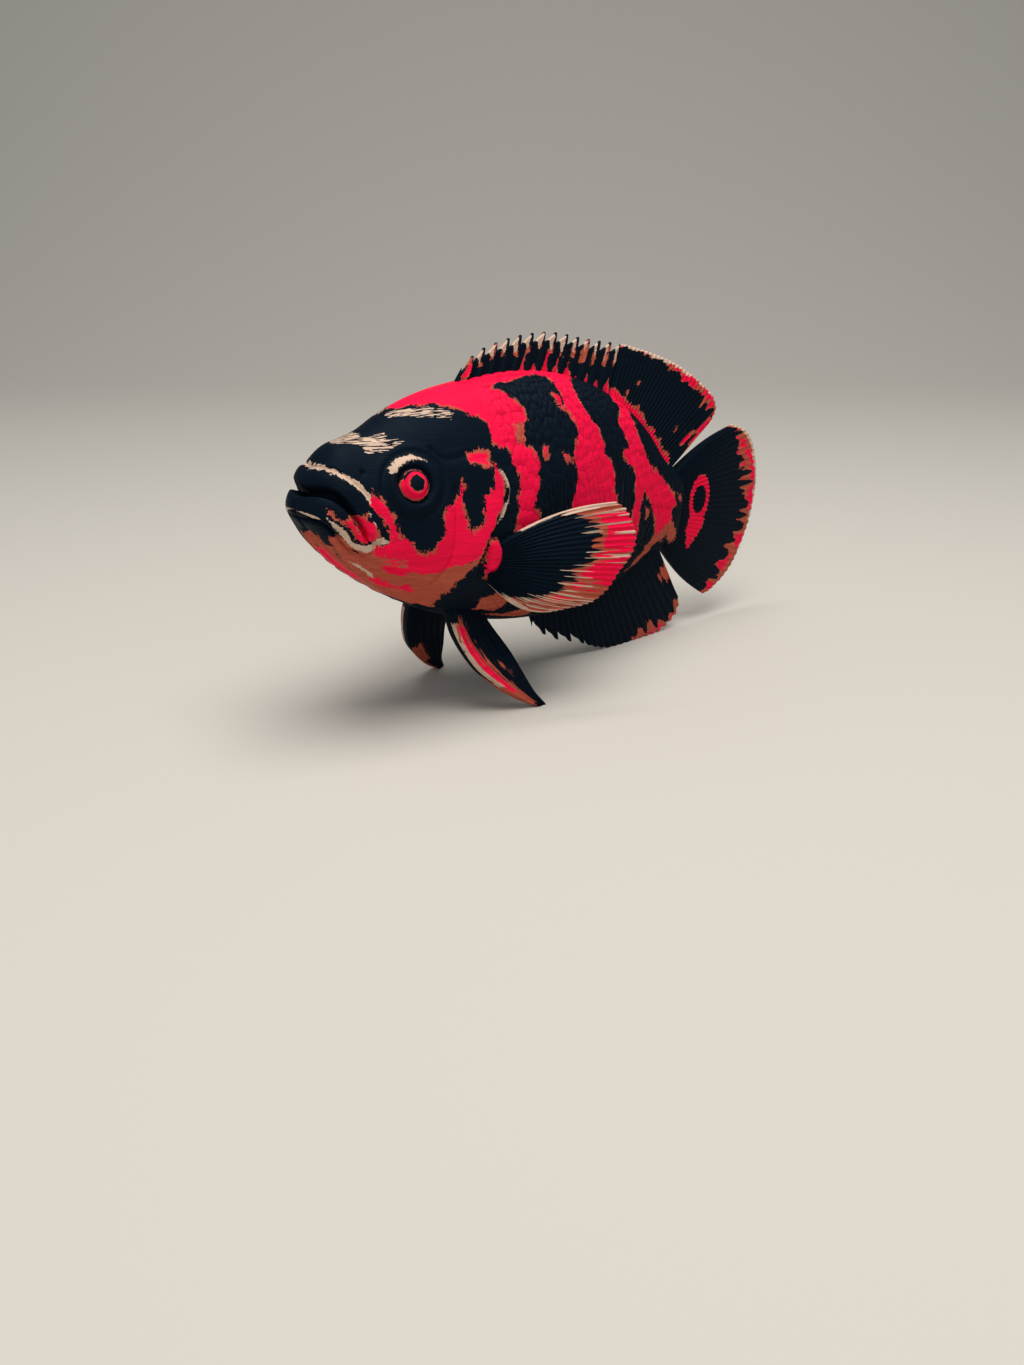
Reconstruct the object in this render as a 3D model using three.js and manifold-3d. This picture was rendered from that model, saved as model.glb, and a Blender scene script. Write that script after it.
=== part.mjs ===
/**
 * A tiger oscar as a printed plastic figurine, standing on the tips of its two
 * pelvic fins and on the lower edge of its anal fin.
 *
 * Everything is first built straight and level, in millimetres: x runs from the
 * snout tip to the tail, y to the fish's right, z up from the snout tip. The
 * whole fish is then pitched nose-up, and its box is centred over the origin
 * with the contact points at z = 0.
 */
import * as THREE from "three";
import { mergeVertices } from "three/addons/utils/BufferGeometryUtils.js";
import Module from "manifold-3d";

const wasm = await Module();
wasm.setup();

// Driving dimensions, in millimetres and radians.
const STANDARD_LENGTH = 130;
const STALK_END = STANDARD_LENGTH + 1;
const NOSE_ROUND = 9;
const SNOUT_TIP_Z = 0.5;
const PITCH = THREE.MathUtils.degToRad(8.4);
const FLOOR_DROP = 54.6;
const GAP = 0.3;
const BODY_STATIONS = 38;
const BODY_SIDES = 34;

// The body's outline and sections, as [x, value] pairs along the fish.
const BACK_LINE = profile([
  [0, 8.6], [3, 10.2], [6, 12.8], [9, 14.9], [13, 16.4], [18, 18.6], [24, 22.6],
  [30, 25.6], [37, 28.2], [45, 30.4], [56, 33], [68, 34.2], [80, 33.6], [92, 31],
  [104, 26.2], [114, 19.8], [121, 13.8], [126, 11.2], [STALK_END, 10.4],
]);
const BELLY_LINE = profile([
  [0, -4.2], [3, -4.7], [7, -7.5], [12, -11.2], [20, -15.9], [30, -20.7], [40, -24.2],
  [52, -26.6], [64, -27.8], [76, -27.8], [88, -26.6], [100, -23.4], [112, -17.8],
  [120, -13.2], [126, -11.8], [STALK_END, -11.6],
]);
const HALF_WIDTH = profile([
  [0, 8], [4, 8.8], [9, 10.1], [16, 12.6], [25, 15.2], [35, 17.2], [46, 18],
  [58, 17.6], [72, 15.8], [88, 12.2], [102, 8.6], [114, 5.4], [124, 3.2], [STALK_END, 1.5],
]);
const MID_LINE = profile([[0, 0], [20, -1.5], [45, -1], [80, 0], [STALK_END, -0.5]]);
const ROUNDNESS_ABOVE = profile([[0, 2.1], [12, 1.85], [45, 1.9], [STALK_END, 2]]);
const ROUNDNESS_BELOW = profile([[0, 2.4], [20, 2.4], [45, 2.2], [90, 2], [STALK_END, 2]]);

// The head's features.
const EYE = { x: 23.4, girth: 0.355, ball: 4.3, sunk: 2.2 };
const ORBIT = { radius: 5, width: 1.6, height: 1.5 };
const NOSTRIL = { x: 12.2, girth: 0.28, radius: 0.9 };
const NECK_CUT = profile([[-40, 33], [-20, 36.5], [-10, 38.5], [0, 40.5], [12, 41], [28, 39.5], [50, 37]]);
const STALK_CUT = profile([[-40, 112], [0, 115], [40, 112]]);
const MOUTH_LINE = [
  [-6, 4.6], [1.2, 4.6], [3.4, 4.6], [6.6, 3.2], [9.7, 0.8], [12.3, -2.2], [14.2, -4.4],
];
const JAW_BACK = [[15.4, -8], [15.6, -14], [13, -24], [-6, -24]];
const UPPER_LIP = {
  front: 2.9,
  path: [[3.9, 6.9], [6.2, 6.1], [8.8, 4.4], [11.3, 1.6], [13.8, -2.4]],
  radius: [2.2, 2.2, 2.1, 1.9, 1.7, 1.3],
  proud: 0.55,
};
const LOWER_LIP = {
  front: 0.35,
  path: [[1.5, 2.6], [3.9, 2.1], [7.1, 0.5], [10, -1.8], [12.6, -4.8]],
  radius: [1.8, 1.8, 1.7, 1.5, 1.3, 1],
  proud: 0.5,
};
const GILL_COVER = {
  front: profile([[-19, 31.4], [-12, 33], [-4, 33.4], [5, 34.4], [13, 37]]),
  rear: profile([[-19, 38.4], [-15, 40.6], [-9, 41.1], [-5, 41.8], [-1, 43.6], [4, 45.5], [8, 46.3], [13, 43.2]]),
  top: 12.8,
  bottom: -18.6,
  frontLift: 0.35,
  rearLift: 1.25,
  sunk: 0.9,
};

// The fins. Outlines are [x, z] pairs at the fish's mid-plane.
const SPINY_DORSAL = {
  rays: 14,
  rows: 5,
  base: [[42.4, 27.5], [56, 31], [68, 32.2], [80, 31.6], [95.4, 28.4]],
  margin: [[45.4, 33.6], [50, 37.5], [55, 39.7], [63, 42.2], [73.8, 43.7], [85.5, 43], [98.7, 42.7]],
  rootHalf: 1.3,
  edgeHalf: 0.5,
  ridge: 0.45,
  notch: 0.16,
};
const SOFT_DORSAL = {
  rays: 17,
  rows: 6,
  base: [[95.8, 28.4], [104, 24.2], [112, 19], [117.5, 14.6], [123.6, 10.2]],
  margin: [
    [99.1, 42.7], [106, 41.9], [113.2, 40.8], [123.6, 38.4], [133.7, 34.3], [139.8, 30.6],
    [141.2, 27.7], [139.1, 23.8],
  ],
  rootHalf: 1.25,
  edgeHalf: 0.42,
  ridge: 0.4,
  notch: 0.014,
};
const ANAL = {
  rays: 18,
  rows: 6,
  base: [[76, -25.8], [88, -24.6], [100, -21.4], [112, -15.8], [123.2, -10.8]],
  margin: [
    [78.2, -31.4], [86.4, -34.9], [97.2, -37], [104.5, -38.8], [111.8, -39.3], [117, -38.7],
    [122.2, -37.7], [130.9, -35.3], [136.1, -31.1], [136.5, -27.7], [134.1, -24.3],
  ],
  rootHalf: 1.3,
  edgeHalf: 0.55,
  ridge: 0.4,
  notch: 0.05,
};
const CAUDAL = {
  rays: 20,
  rows: 6,
  base: [[124.5, 9], [124.5, 4], [124.5, -4.6], [124.5, -11]],
  margin: [
    [150, 23.8], [157.4, 21.7], [162, 16.4], [164.9, 8.1], [165, 0.5], [163.7, -6.8],
    [158.3, -18.3], [150.4, -24.8], [147.4, -25.9],
  ],
  rootHalf: 1.4,
  edgeHalf: 0.42,
  ridge: 0.4,
  notch: 0.012,
  bow: 1.7,
};
const PECTORAL = {
  rays: 12,
  rows: 6,
  root: [47, 18.2, -10],
  spread: THREE.MathUtils.degToRad(22),
  // Outlines in the fin's own plane: distance back from the root, height over it.
  base: [[-2.6, 4.2], [-2.8, 0], [-2.6, -4.4]],
  margin: [
    [28, 16.5], [31, 14.8], [33.4, 11], [34.6, 7.6], [34, 4], [31.2, -0.4], [28.6, -4.9],
    [24.8, -8.1], [19.5, -9.6], [14.3, -10.8],
  ],
  rootHalf: 0.95,
  edgeHalf: 0.35,
  ridge: 0.3,
  notch: 0.03,
  cup: 1.6,
  bow: 2.4,
  lobe: { centre: [45.9, 17.4, -10.6], radii: [3, 2.5, 5.8] },
};
const PELVIC = {
  rays: 5,
  rows: 10,
  leading: [
    [41.5, 7.2, -21.5], [42.6, 9.9, -28.4], [46.9, 13.4, -35.9], [50.8, 15.2, -39.2],
    [57, 17.4, -43.2], [65.2, 19.4, -46.6],
  ],
  trailing: [
    [52.4, 5.2, -22.6], [55.6, 8.6, -28], [58.6, 12.4, -33], [61, 15, -37.6],
    [63.4, 17.9, -42.4], [66.3, 20, -45.6],
  ],
  rootHalf: 1.5,
  edgeHalf: 0.8,
  ridge: 0.35,
};

// Plastic finishes, by the colour each piece mostly shows.
const PLASTIC = {
  navy: plastic(0x0d1826),
  coral: plastic(0xd81f49),
  salmon: plastic(0xa8544a),
  iris: plastic(0xc41334),
};

/** A matte printed-plastic material of one colour. */
function plastic(colour) {
  return new THREE.MeshStandardMaterial({ color: colour, roughness: 0.55, metalness: 0 });
}

/** A smooth function through [x, value] pairs, flat outside them. */
function profile(pairs) {
  const spans = pairs.slice(1).map(([x, y], i) => ({
    width: x - pairs[i][0],
    slope: (y - pairs[i][1]) / (x - pairs[i][0]),
  }));
  const slopes = pairs.map((_, i) => {
    const before = spans[Math.max(i - 1, 0)];
    const after = spans[Math.min(i, spans.length - 1)];
    return (before.slope * after.width + after.slope * before.width) / (before.width + after.width);
  });
  return (x) => {
    const last = spans.length - 1;
    const i = Math.min(last, Math.max(0, pairs.findIndex((pair) => pair[0] > x) - 1));
    const span = x >= pairs.at(-1)[0] ? last : i;
    const t = THREE.MathUtils.clamp((x - pairs[span][0]) / spans[span].width, 0, 1);
    const ease = t * t * (3 - 2 * t);
    const leave = t * (1 - t) * (1 - t) * spans[span].width * slopes[span];
    const arrive = t * t * (t - 1) * spans[span].width * slopes[span + 1];
    return THREE.MathUtils.lerp(pairs[span][1], pairs[span + 1][1], ease) + leave + arrive;
  };
}

/**
 * A point of the body's skin. Girth runs from 0 on the back's midline to 1 on
 * the belly's, positive on the fish's left (-y) and negative on its right.
 */
function skinPoint(x, girth) {
  const nose = x < NOSE_ROUND ? Math.sqrt(Math.max(0, 1 - (1 - x / NOSE_ROUND) ** 2)) : 1;
  const toTip = (z) => SNOUT_TIP_Z + (z - SNOUT_TIP_Z) * nose;
  const top = toTip(BACK_LINE(x));
  const bottom = toTip(BELLY_LINE(x));
  const middle = toTip(MID_LINE(x));
  const cos = Math.cos(Math.PI * girth);
  const sin = Math.abs(Math.sin(Math.PI * girth));
  const power = 2 / (cos >= 0 ? ROUNDNESS_ABOVE(x) : ROUNDNESS_BELOW(x));
  const height = cos >= 0 ? top - middle : middle - bottom;
  return new THREE.Vector3(
    x,
    -Math.sign(girth) * HALF_WIDTH(x) * nose * sin ** power,
    middle + height * Math.sign(cos) * Math.abs(cos) ** power,
  );
}

/** The outward unit normal of the skin. */
function skinNormal(x, girth) {
  const step = 0.01;
  const from = Math.max(x - 0.2, 0.02);
  const along = skinPoint(from + 0.4, girth).sub(skinPoint(from, girth));
  const round = skinPoint(x, girth + step).sub(skinPoint(x, girth - step));
  return round.cross(along).normalize();
}

/** A point raised off the skin by a distance. */
function raised(x, girth, distance) {
  return skinPoint(x, girth).addScaledVector(skinNormal(x, girth), distance);
}

/** The girth at which the skin at x stands at height z, on one side. */
function girthAt(x, z) {
  let [low, high] = [0.02, 0.98];
  for (let i = 0; i < 24; i += 1) {
    const middle = (low + high) / 2;
    if (skinPoint(x, middle).z > z) low = middle;
    else high = middle;
  }
  return (low + high) / 2;
}

/** A closed surface through rings of points, with a point closing each end. */
function loft(rings, start, end) {
  const sides = rings[0].length;
  const points = [start, ...rings.flat(), end];
  const index = [];
  const last = points.length - 1;
  for (let k = 0; k < sides; k += 1) {
    const next = (k + 1) % sides;
    index.push(0, 1 + next, 1 + k);
    index.push(last, last - sides + k, last - sides + next);
    for (let r = 0; r < rings.length - 1; r += 1) {
      const a = 1 + r * sides;
      const b = a + sides;
      index.push(a + k, a + next, b + next);
      index.push(a + k, b + next, b + k);
    }
  }
  const geometry = new THREE.BufferGeometry().setFromPoints(points);
  return geometry.setIndex(index);
}

/**
 * A thin closed sheet: point(i, j, side) gives its two faces, which are split
 * into triangles alike so that they never cross.
 */
function sheet(columns, rows, point) {
  const points = [];
  for (const side of [1, -1]) {
    for (let j = 0; j <= rows; j += 1) {
      for (let i = 0; i <= columns; i += 1) points.push(point(i, j, side));
    }
  }
  const at = (i, j, back) => (back ? points.length / 2 : 0) + j * (columns + 1) + i;
  const index = [];
  for (let j = 0; j < rows; j += 1) {
    for (let i = 0; i < columns; i += 1) {
      for (const back of [false, true]) {
        const corners = [at(i, j, back), at(i + 1, j, back), at(i + 1, j + 1, back), at(i, j + 1, back)];
        const [a, b, c, d] = corners;
        if (back) index.push(a, c, b, a, d, c);
        else index.push(a, b, c, a, c, d);
      }
    }
  }
  const rim = [];
  for (let i = 0; i < columns; i += 1) rim.push([i, 0]);
  for (let j = 0; j < rows; j += 1) rim.push([columns, j]);
  for (let i = columns; i > 0; i -= 1) rim.push([i, rows]);
  for (let j = rows; j > 0; j -= 1) rim.push([0, j]);
  rim.forEach(([i, j], k) => {
    const [m, n] = rim[(k + 1) % rim.length];
    index.push(at(i, j, false), at(i, j, true), at(m, n, true));
    index.push(at(i, j, false), at(m, n, true), at(m, n, false));
  });
  const geometry = new THREE.BufferGeometry().setFromPoints(points);
  return geometry.setIndex(index);
}

/** Six times the volume that a geometry's faces enclose, below 0 if they face in. */
function signedVolume(geometry) {
  const { position } = geometry.attributes;
  const order = geometry.index.array;
  const [a, b, c] = [new THREE.Vector3(), new THREE.Vector3(), new THREE.Vector3()];
  let sum = 0;
  for (let i = 0; i < order.length; i += 3) {
    a.fromBufferAttribute(position, order[i]);
    b.fromBufferAttribute(position, order[i + 1]);
    c.fromBufferAttribute(position, order[i + 2]);
    sum += a.dot(b.cross(c));
  }
  return sum;
}

/** A geometry as a solid, its points merged and its faces turned outward. */
function solid(geometry) {
  const bare = geometry.clone();
  bare.deleteAttribute("normal");
  bare.deleteAttribute("uv");
  const merged = mergeVertices(bare, 1e-4);
  const triVerts = new Uint32Array(merged.index.array);
  if (signedVolume(merged) < 0) triVerts.reverse();
  const vertProperties = new Float32Array(merged.attributes.position.array);
  return new wasm.Manifold(new wasm.Mesh({ numProp: 3, vertProperties, triVerts }));
}

/** The same geometry on the fish's other side. */
function mirrored(geometry) {
  return geometry.clone().scale(1, -1, 1);
}

/** A geometry made for the fish's left, as a solid on each side. */
function pair(geometry) {
  return { left: solid(geometry), right: solid(mirrored(geometry)) };
}

/** The largest closed surface of a solid: loose scraps and sealed voids go. */
function largest(shape) {
  return shape.decompose().reduce((best, piece) => (piece.volume() > best.volume() ? piece : best));
}

/** A solid as a named mesh. */
function part(name, shape, material) {
  const { vertProperties, triVerts } = largest(shape).getMesh();
  const geometry = new THREE.BufferGeometry();
  geometry.setAttribute("position", new THREE.BufferAttribute(vertProperties, 3));
  geometry.setIndex(new THREE.BufferAttribute(triVerts, 1));
  geometry.computeVertexNormals();
  const mesh = new THREE.Mesh(geometry, material);
  mesh.name = name;
  return mesh;
}

/** The whole body, its skin moved outward by grow. */
function body(grow = 0) {
  const rings = [];
  for (let i = 1; i <= BODY_STATIONS; i += 1) {
    const x = STALK_END * (i / BODY_STATIONS) ** 1.6;
    const ring = [];
    for (let k = 0; k < BODY_SIDES; k += 1) ring.push(raised(x, (2 * k) / BODY_SIDES - 1, grow));
    rings.push(ring);
  }
  const tip = new THREE.Vector3(-grow, 0, SNOUT_TIP_Z);
  const tail = new THREE.Vector3(STALK_END, 0, -0.5);
  if (grow > 0) {
    rings.push(rings.at(-1).map((point) => point.clone().setX(STALK_END + grow)));
    tail.x += grow;
  }
  return solid(loft(rings, tip, tail));
}

/** A flat [x, z] outline pushed through the whole width of the fish. */
function through(outline) {
  const shape = new THREE.Shape(outline.map(([x, z]) => new THREE.Vector2(x, z)));
  const geometry = new THREE.ExtrudeGeometry(shape, { depth: 80, bevelEnabled: false });
  return solid(geometry.rotateX(Math.PI / 2).translate(0, 40, 0));
}

/** All that lies ahead of a cut given as x over height, moved back by shift. */
function aheadOf(cut, shift = 0) {
  const heights = Array.from({ length: 25 }, (_, i) => 60 - 5 * i);
  const edge = heights.map((z) => [cut(z) + shift, z]);
  return through([[-30, 60], ...edge, [-30, -60]]);
}

/** The lower jaw's block, its upper and rear faces moved outward by grow. */
function jawBlock(grow) {
  const lips = MOUTH_LINE.map(([x, z]) => [x + grow * 0.5, z + grow - 0.35]);
  const back = JAW_BACK.map(([x, z]) => [x > 0 ? x + grow : x, z]);
  return through([...lips, ...back]);
}

/**
 * A lip: a round roll let into the skin. Its path runs from the midline over
 * [x, z] places on the left to the corner of the mouth, and back on the right.
 */
function lipRoll({ front, path, radius, proud }, grow = 0) {
  const places = [[front, 0], ...path.map(([x, z]) => [x, girthAt(x, z)])];
  const left = places.map(([x, girth], i) => raised(x, girth, proud - radius[i]));
  const right = left.slice(1).reverse().map((p) => new THREE.Vector3(p.x, -p.y, p.z));
  const curve = new THREE.CatmullRomCurve3([...right, ...left]);
  const size = profile(radius.map((value, i) => [i / (radius.length - 1), value]));
  const steps = 22;
  const sides = 8;
  const rings = [];
  for (let i = 0; i <= steps; i += 1) {
    const t = i / steps;
    const centre = curve.getPoint(t);
    const along = curve.getTangent(t);
    const out = along.clone().cross(new THREE.Vector3(0, 0, 1)).normalize();
    const over = out.clone().cross(along).normalize();
    const reach = size(Math.abs(2 * t - 1)) + grow;
    const ring = [];
    for (let k = 0; k < sides; k += 1) {
      const angle = (2 * Math.PI * k) / sides;
      const point = centre.clone().addScaledVector(out, reach * Math.cos(angle));
      ring.push(point.addScaledVector(over, reach * Math.sin(angle)));
    }
    rings.push(ring);
  }
  const end = (t, sign) => {
    const reach = (size(1) + grow) * 0.7 * sign;
    return curve.getPoint(t).addScaledVector(curve.getTangent(t), reach);
  };
  return solid(loft(rings, end(0, -1), end(1, 1)));
}

/** A geometry made round the z axis, turned to stand on the skin at a place. */
function standingOn(geometry, x, girth, height) {
  const normal = skinNormal(x, girth);
  const turn = new THREE.Quaternion().setFromUnitVectors(new THREE.Vector3(0, 0, 1), normal);
  const place = raised(x, girth, height);
  return geometry.clone().applyQuaternion(turn).translate(place.x, place.y, place.z);
}

/** The raised ring of skin round the eye. */
function orbitRing() {
  const section = [];
  for (let k = 0; k <= 8; k += 1) {
    const angle = (2 * Math.PI * k) / 8;
    const out = ORBIT.radius + ORBIT.width * Math.cos(angle);
    section.push(new THREE.Vector2(out, ORBIT.height * Math.sin(angle)));
  }
  const ring = new THREE.LatheGeometry(section, 24).rotateX(Math.PI / 2);
  return standingOn(ring, EYE.x, EYE.girth, -0.35);
}

/** The eyeball, or the socket that holds it when grown. */
function eyeBall(grow = 0) {
  const ball = new THREE.SphereGeometry(EYE.ball + grow, 18, 10).rotateX(Math.PI / 2);
  return standingOn(ball, EYE.x, EYE.girth, -EYE.sunk);
}

/** A gill cover: a plate let into the skin that stands up along its rear edge. */
function gillCover(grow = 0) {
  const { front, rear, top, bottom, frontLift, rearLift, sunk } = GILL_COVER;
  const [columns, rows] = [5, 11];
  return sheet(columns, rows, (i, j, side) => {
    const round = Math.sin((Math.PI * j) / rows) ** 0.35;
    const u = i / columns;
    const z = THREE.MathUtils.lerp(bottom - grow, top + grow, j / rows);
    const middle = (front(z) + rear(z)) / 2;
    const half = ((rear(z) - front(z)) / 2 + grow) * Math.max(round, 0.55);
    const x = middle + (2 * u - 1) * half;
    const lift = THREE.MathUtils.lerp(frontLift, rearLift, u ** 1.5) + grow * 6;
    return raised(x, girthAt(x, z), side > 0 ? lift : -sunk - grow);
  });
}

/** A curve through points, read at equal steps along its length. */
function route(points) {
  const curve = new THREE.CatmullRomCurve3(points, false, "centripetal");
  return (u) => curve.getPointAt(THREE.MathUtils.clamp(u, 0, 1));
}

/**
 * A fin blade: rays fan from its base to its margin and stand up as ridges on
 * both faces. The membrane between two rays stops short of their tips.
 */
function finBlade(fin, base, margin, bend, normalAt) {
  const columns = 2 * fin.rays;
  const middle = (u, v) => {
    const crest = 0.5 + 0.5 * Math.cos(2 * Math.PI * fin.rays * u);
    const reach = v * (1 - (fin.notch ?? 0) * (1 - crest) * v * v);
    return base(u).lerp(margin(u), reach).add(bend(u, v));
  };
  return sheet(columns, fin.rows, (i, j, side) => {
    const u = i / columns;
    const v = j / fin.rows;
    const crest = i % 2 === 0 ? 1 : 0;
    const taper = 1 - v ** 4 * 0.45;
    const half = (THREE.MathUtils.lerp(fin.rootHalf, fin.edgeHalf, v ** 0.7) + crest * fin.ridge) * taper;
    return middle(u, v).addScaledVector(normalAt(u, v, middle), side * half);
  });
}

/** A fin on the fish's mid-plane. */
function medianFin(fin) {
  const flat = ([x, z]) => new THREE.Vector3(x, 0, z);
  const base = route(fin.base.map(flat));
  const margin = route(fin.margin.map(flat));
  const across = new THREE.Vector3(0, 1, 0);
  const bend = (u, v) => new THREE.Vector3(0, 0, (fin.bow ?? 0) * (1 - 2 * u) * Math.sin(Math.PI * v));
  return finBlade(fin, base, margin, bend, () => across);
}

/** The left pectoral fin, fanned back and out from the flank. */
function pectoralFin() {
  const { root, spread, cup, bow } = PECTORAL;
  const inPlane = ([back, up]) =>
    new THREE.Vector3(root[0] + back * Math.cos(spread), -root[1] - back * Math.sin(spread), root[2] + up);
  const base = route(PECTORAL.base.map(inPlane));
  const margin = route(PECTORAL.margin.map(inPlane));
  const across = new THREE.Vector3(-Math.sin(spread), -Math.cos(spread), 0);
  const bend = (u, v) => {
    const rise = bow * (1 - 2 * u) * Math.sin(Math.PI * v);
    const bulge = cup * Math.sin(Math.PI * v) * Math.sin(Math.PI * u);
    return across.clone().multiplyScalar(bulge).add(new THREE.Vector3(0, 0, rise));
  };
  return finBlade(PECTORAL, base, margin, bend, () => across);
}

/** The fleshy lobe that carries the left pectoral fin. */
function pectoralLobe() {
  const { centre, radii } = PECTORAL.lobe;
  const lobe = new THREE.SphereGeometry(1, 16, 12).scale(...radii);
  return lobe.rotateZ(-0.12).translate(centre[0], -centre[1], centre[2]);
}

/** The left pelvic fin: a pointed blade whose first ray is a thick strut. */
function pelvicFin() {
  const leftSide = ([x, y, z]) => new THREE.Vector3(x, -y, z);
  const leading = route(PELVIC.leading.map(leftSide));
  const trailing = route(PELVIC.trailing.map(leftSide));
  const middle = (u, v) => leading(v).lerp(trailing(v), u);
  const normal = (u, v) => {
    const along = middle(u, Math.min(v + 0.02, 1)).sub(middle(u, Math.max(v - 0.02, 0)));
    const over = middle(1, v).sub(middle(0, v));
    return along.cross(over).normalize();
  };
  const columns = 2 * PELVIC.rays;
  return sheet(columns, PELVIC.rows, (i, j, side) => {
    const u = i / columns;
    const v = j / PELVIC.rows;
    const crest = i % 2 === 0 ? PELVIC.ridge : 0;
    const strut = 0.7 * Math.exp(-((u / 0.12) ** 2));
    const half = THREE.MathUtils.lerp(PELVIC.rootHalf, PELVIC.edgeHalf, v) * (1 - 0.35 * u) + crest + strut;
    return middle(u, v).addScaledVector(normal(u, v), side * half * (1 - 0.25 * v));
  });
}

/** Everything under the table top, in the level frame the fish is built in. */
function underFloor() {
  const block = new THREE.BoxGeometry(400, 200, 40).translate(60, 0, -FLOOR_DROP - 20);
  return solid(block.rotateY(-PITCH));
}

const flesh = body();
const clearance = body(GAP);
const floor = underFloor();

const upperRoll = lipRoll(UPPER_LIP);
const lowerRoll = lipRoll(LOWER_LIP);
const upperSlot = lipRoll(UPPER_LIP, GAP);
const lowerSlot = lipRoll(LOWER_LIP, GAP);
const orbits = pair(orbitRing());
const sockets = pair(eyeBall(GAP));
const covers = pair(gillCover());
const coverSlots = pair(gillCover(GAP));
const nostril = standingOn(new THREE.SphereGeometry(NOSTRIL.radius, 10, 6), NOSTRIL.x, NOSTRIL.girth, 0);
const nostrils = pair(nostril);

const chin = flesh.intersect(jawBlock(0)).add(lowerRoll).subtract(upperSlot);
const head = flesh
  .intersect(aheadOf(NECK_CUT))
  .add(orbits.left)
  .add(orbits.right)
  .subtract(jawBlock(GAP))
  .subtract(upperSlot)
  .subtract(lowerSlot)
  .subtract(sockets.left)
  .subtract(sockets.right)
  .subtract(nostrils.left)
  .subtract(nostrils.right)
  .subtract(coverSlots.left)
  .subtract(coverSlots.right);
const torso = flesh
  .intersect(aheadOf(STALK_CUT))
  .subtract(aheadOf(NECK_CUT, GAP))
  .subtract(coverSlots.left)
  .subtract(coverSlots.right);
const stalk = flesh.subtract(aheadOf(STALK_CUT, GAP));

const pectorals = pair(pectoralFin());
const lobes = pair(pectoralLobe());
const pelvics = pair(pelvicFin());
const eyes = pair(eyeBall());

const fish = new THREE.Group();
fish.add(part("head", head, PLASTIC.navy));
fish.add(part("upper_lip", upperRoll.subtract(solid(mirrored(eyeBall(GAP)))), PLASTIC.coral));
fish.add(part("lower_jaw", chin, PLASTIC.salmon));
fish.add(part("torso", torso, PLASTIC.navy));
fish.add(part("tail_stalk", stalk, PLASTIC.navy));
for (const side of ["left", "right"]) {
  const pectoral = pectorals[side].add(lobes[side]).subtract(clearance).subtract(coverSlots[side]);
  const pelvic = pelvics[side].subtract(clearance).subtract(floor);
  fish.add(part(`eye_${side}`, eyes[side], PLASTIC.iris));
  fish.add(part(`gill_cover_${side}`, covers[side], PLASTIC.coral));
  fish.add(part(`pectoral_fin_${side}`, pectoral, PLASTIC.navy));
  fish.add(part(`pelvic_fin_${side}`, pelvic, PLASTIC.coral));
}
fish.add(part("dorsal_fin_spiny", solid(medianFin(SPINY_DORSAL)).subtract(clearance), PLASTIC.navy));
fish.add(part("dorsal_fin_soft", solid(medianFin(SOFT_DORSAL)).subtract(clearance), PLASTIC.navy));
fish.add(part("anal_fin", solid(medianFin(ANAL)).subtract(clearance).subtract(floor), PLASTIC.navy));
fish.add(part("caudal_fin", solid(medianFin(CAUDAL)).subtract(clearance), PLASTIC.navy));

// Pitched nose-up and centred, with its lowest points on the plane z = 0.
fish.rotation.y = PITCH;
const oscar = new THREE.Group();
oscar.add(fish);
const box = new THREE.Box3().setFromObject(oscar, true);
const middle = box.getCenter(new THREE.Vector3());
fish.position.set(-middle.x, -middle.y, -box.min.z);

export default oscar;
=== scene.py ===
"""A tiger oscar as a printed plastic figurine, standing on its pelvic and anal fins.

The fish is shaped in its own straight, level frame in millimetres: x from the
snout tip to the tail, y to the fish's right, z up. Seat then pitches it nose-up
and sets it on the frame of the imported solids, in metres. Where each colour of
plastic lies is kept on the vertices as a distance in millimetres, above zero
inside a patch, and the material breaks the patches' edges up.
"""

import logging
import math
from dataclasses import dataclass
from enum import Enum
from typing import Callable, Sequence

import bmesh
import bpy
import numpy as np
from mathutils import Matrix, Vector


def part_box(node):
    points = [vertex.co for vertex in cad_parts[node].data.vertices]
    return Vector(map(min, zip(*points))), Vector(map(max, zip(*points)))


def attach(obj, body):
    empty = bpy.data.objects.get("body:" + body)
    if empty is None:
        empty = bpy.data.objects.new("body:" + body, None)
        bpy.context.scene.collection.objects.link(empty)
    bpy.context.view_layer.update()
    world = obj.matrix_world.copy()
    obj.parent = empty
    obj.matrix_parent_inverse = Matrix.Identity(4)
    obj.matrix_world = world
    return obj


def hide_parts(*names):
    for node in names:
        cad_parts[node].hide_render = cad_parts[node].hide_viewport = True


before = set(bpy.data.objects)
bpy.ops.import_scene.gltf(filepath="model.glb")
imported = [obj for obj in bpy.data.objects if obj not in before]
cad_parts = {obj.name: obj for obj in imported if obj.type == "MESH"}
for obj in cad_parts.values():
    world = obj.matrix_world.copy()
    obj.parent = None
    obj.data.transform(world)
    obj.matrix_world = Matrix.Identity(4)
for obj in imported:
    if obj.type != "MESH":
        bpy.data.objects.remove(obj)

LOG = logging.getLogger("oscar")
Array = np.ndarray
Pair = tuple[float, float]
Triple = tuple[float, float, float]
Quad = tuple[float, float, float, float]
MM = 0.001
WELD = 2e-6
FAR_OUTSIDE = -9.0
CELL_HASH = (127.1, 311.7, 74.7, 43758.5453)


class Side(Enum):
    """The fish's left, which faces the camera, and its right."""

    LEFT = -1.0
    RIGHT = 1.0

    def mirrored(self, points: Array) -> Array:
        """Points shaped for the left, on this side."""
        return points * (1, -self.value, 1)


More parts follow.
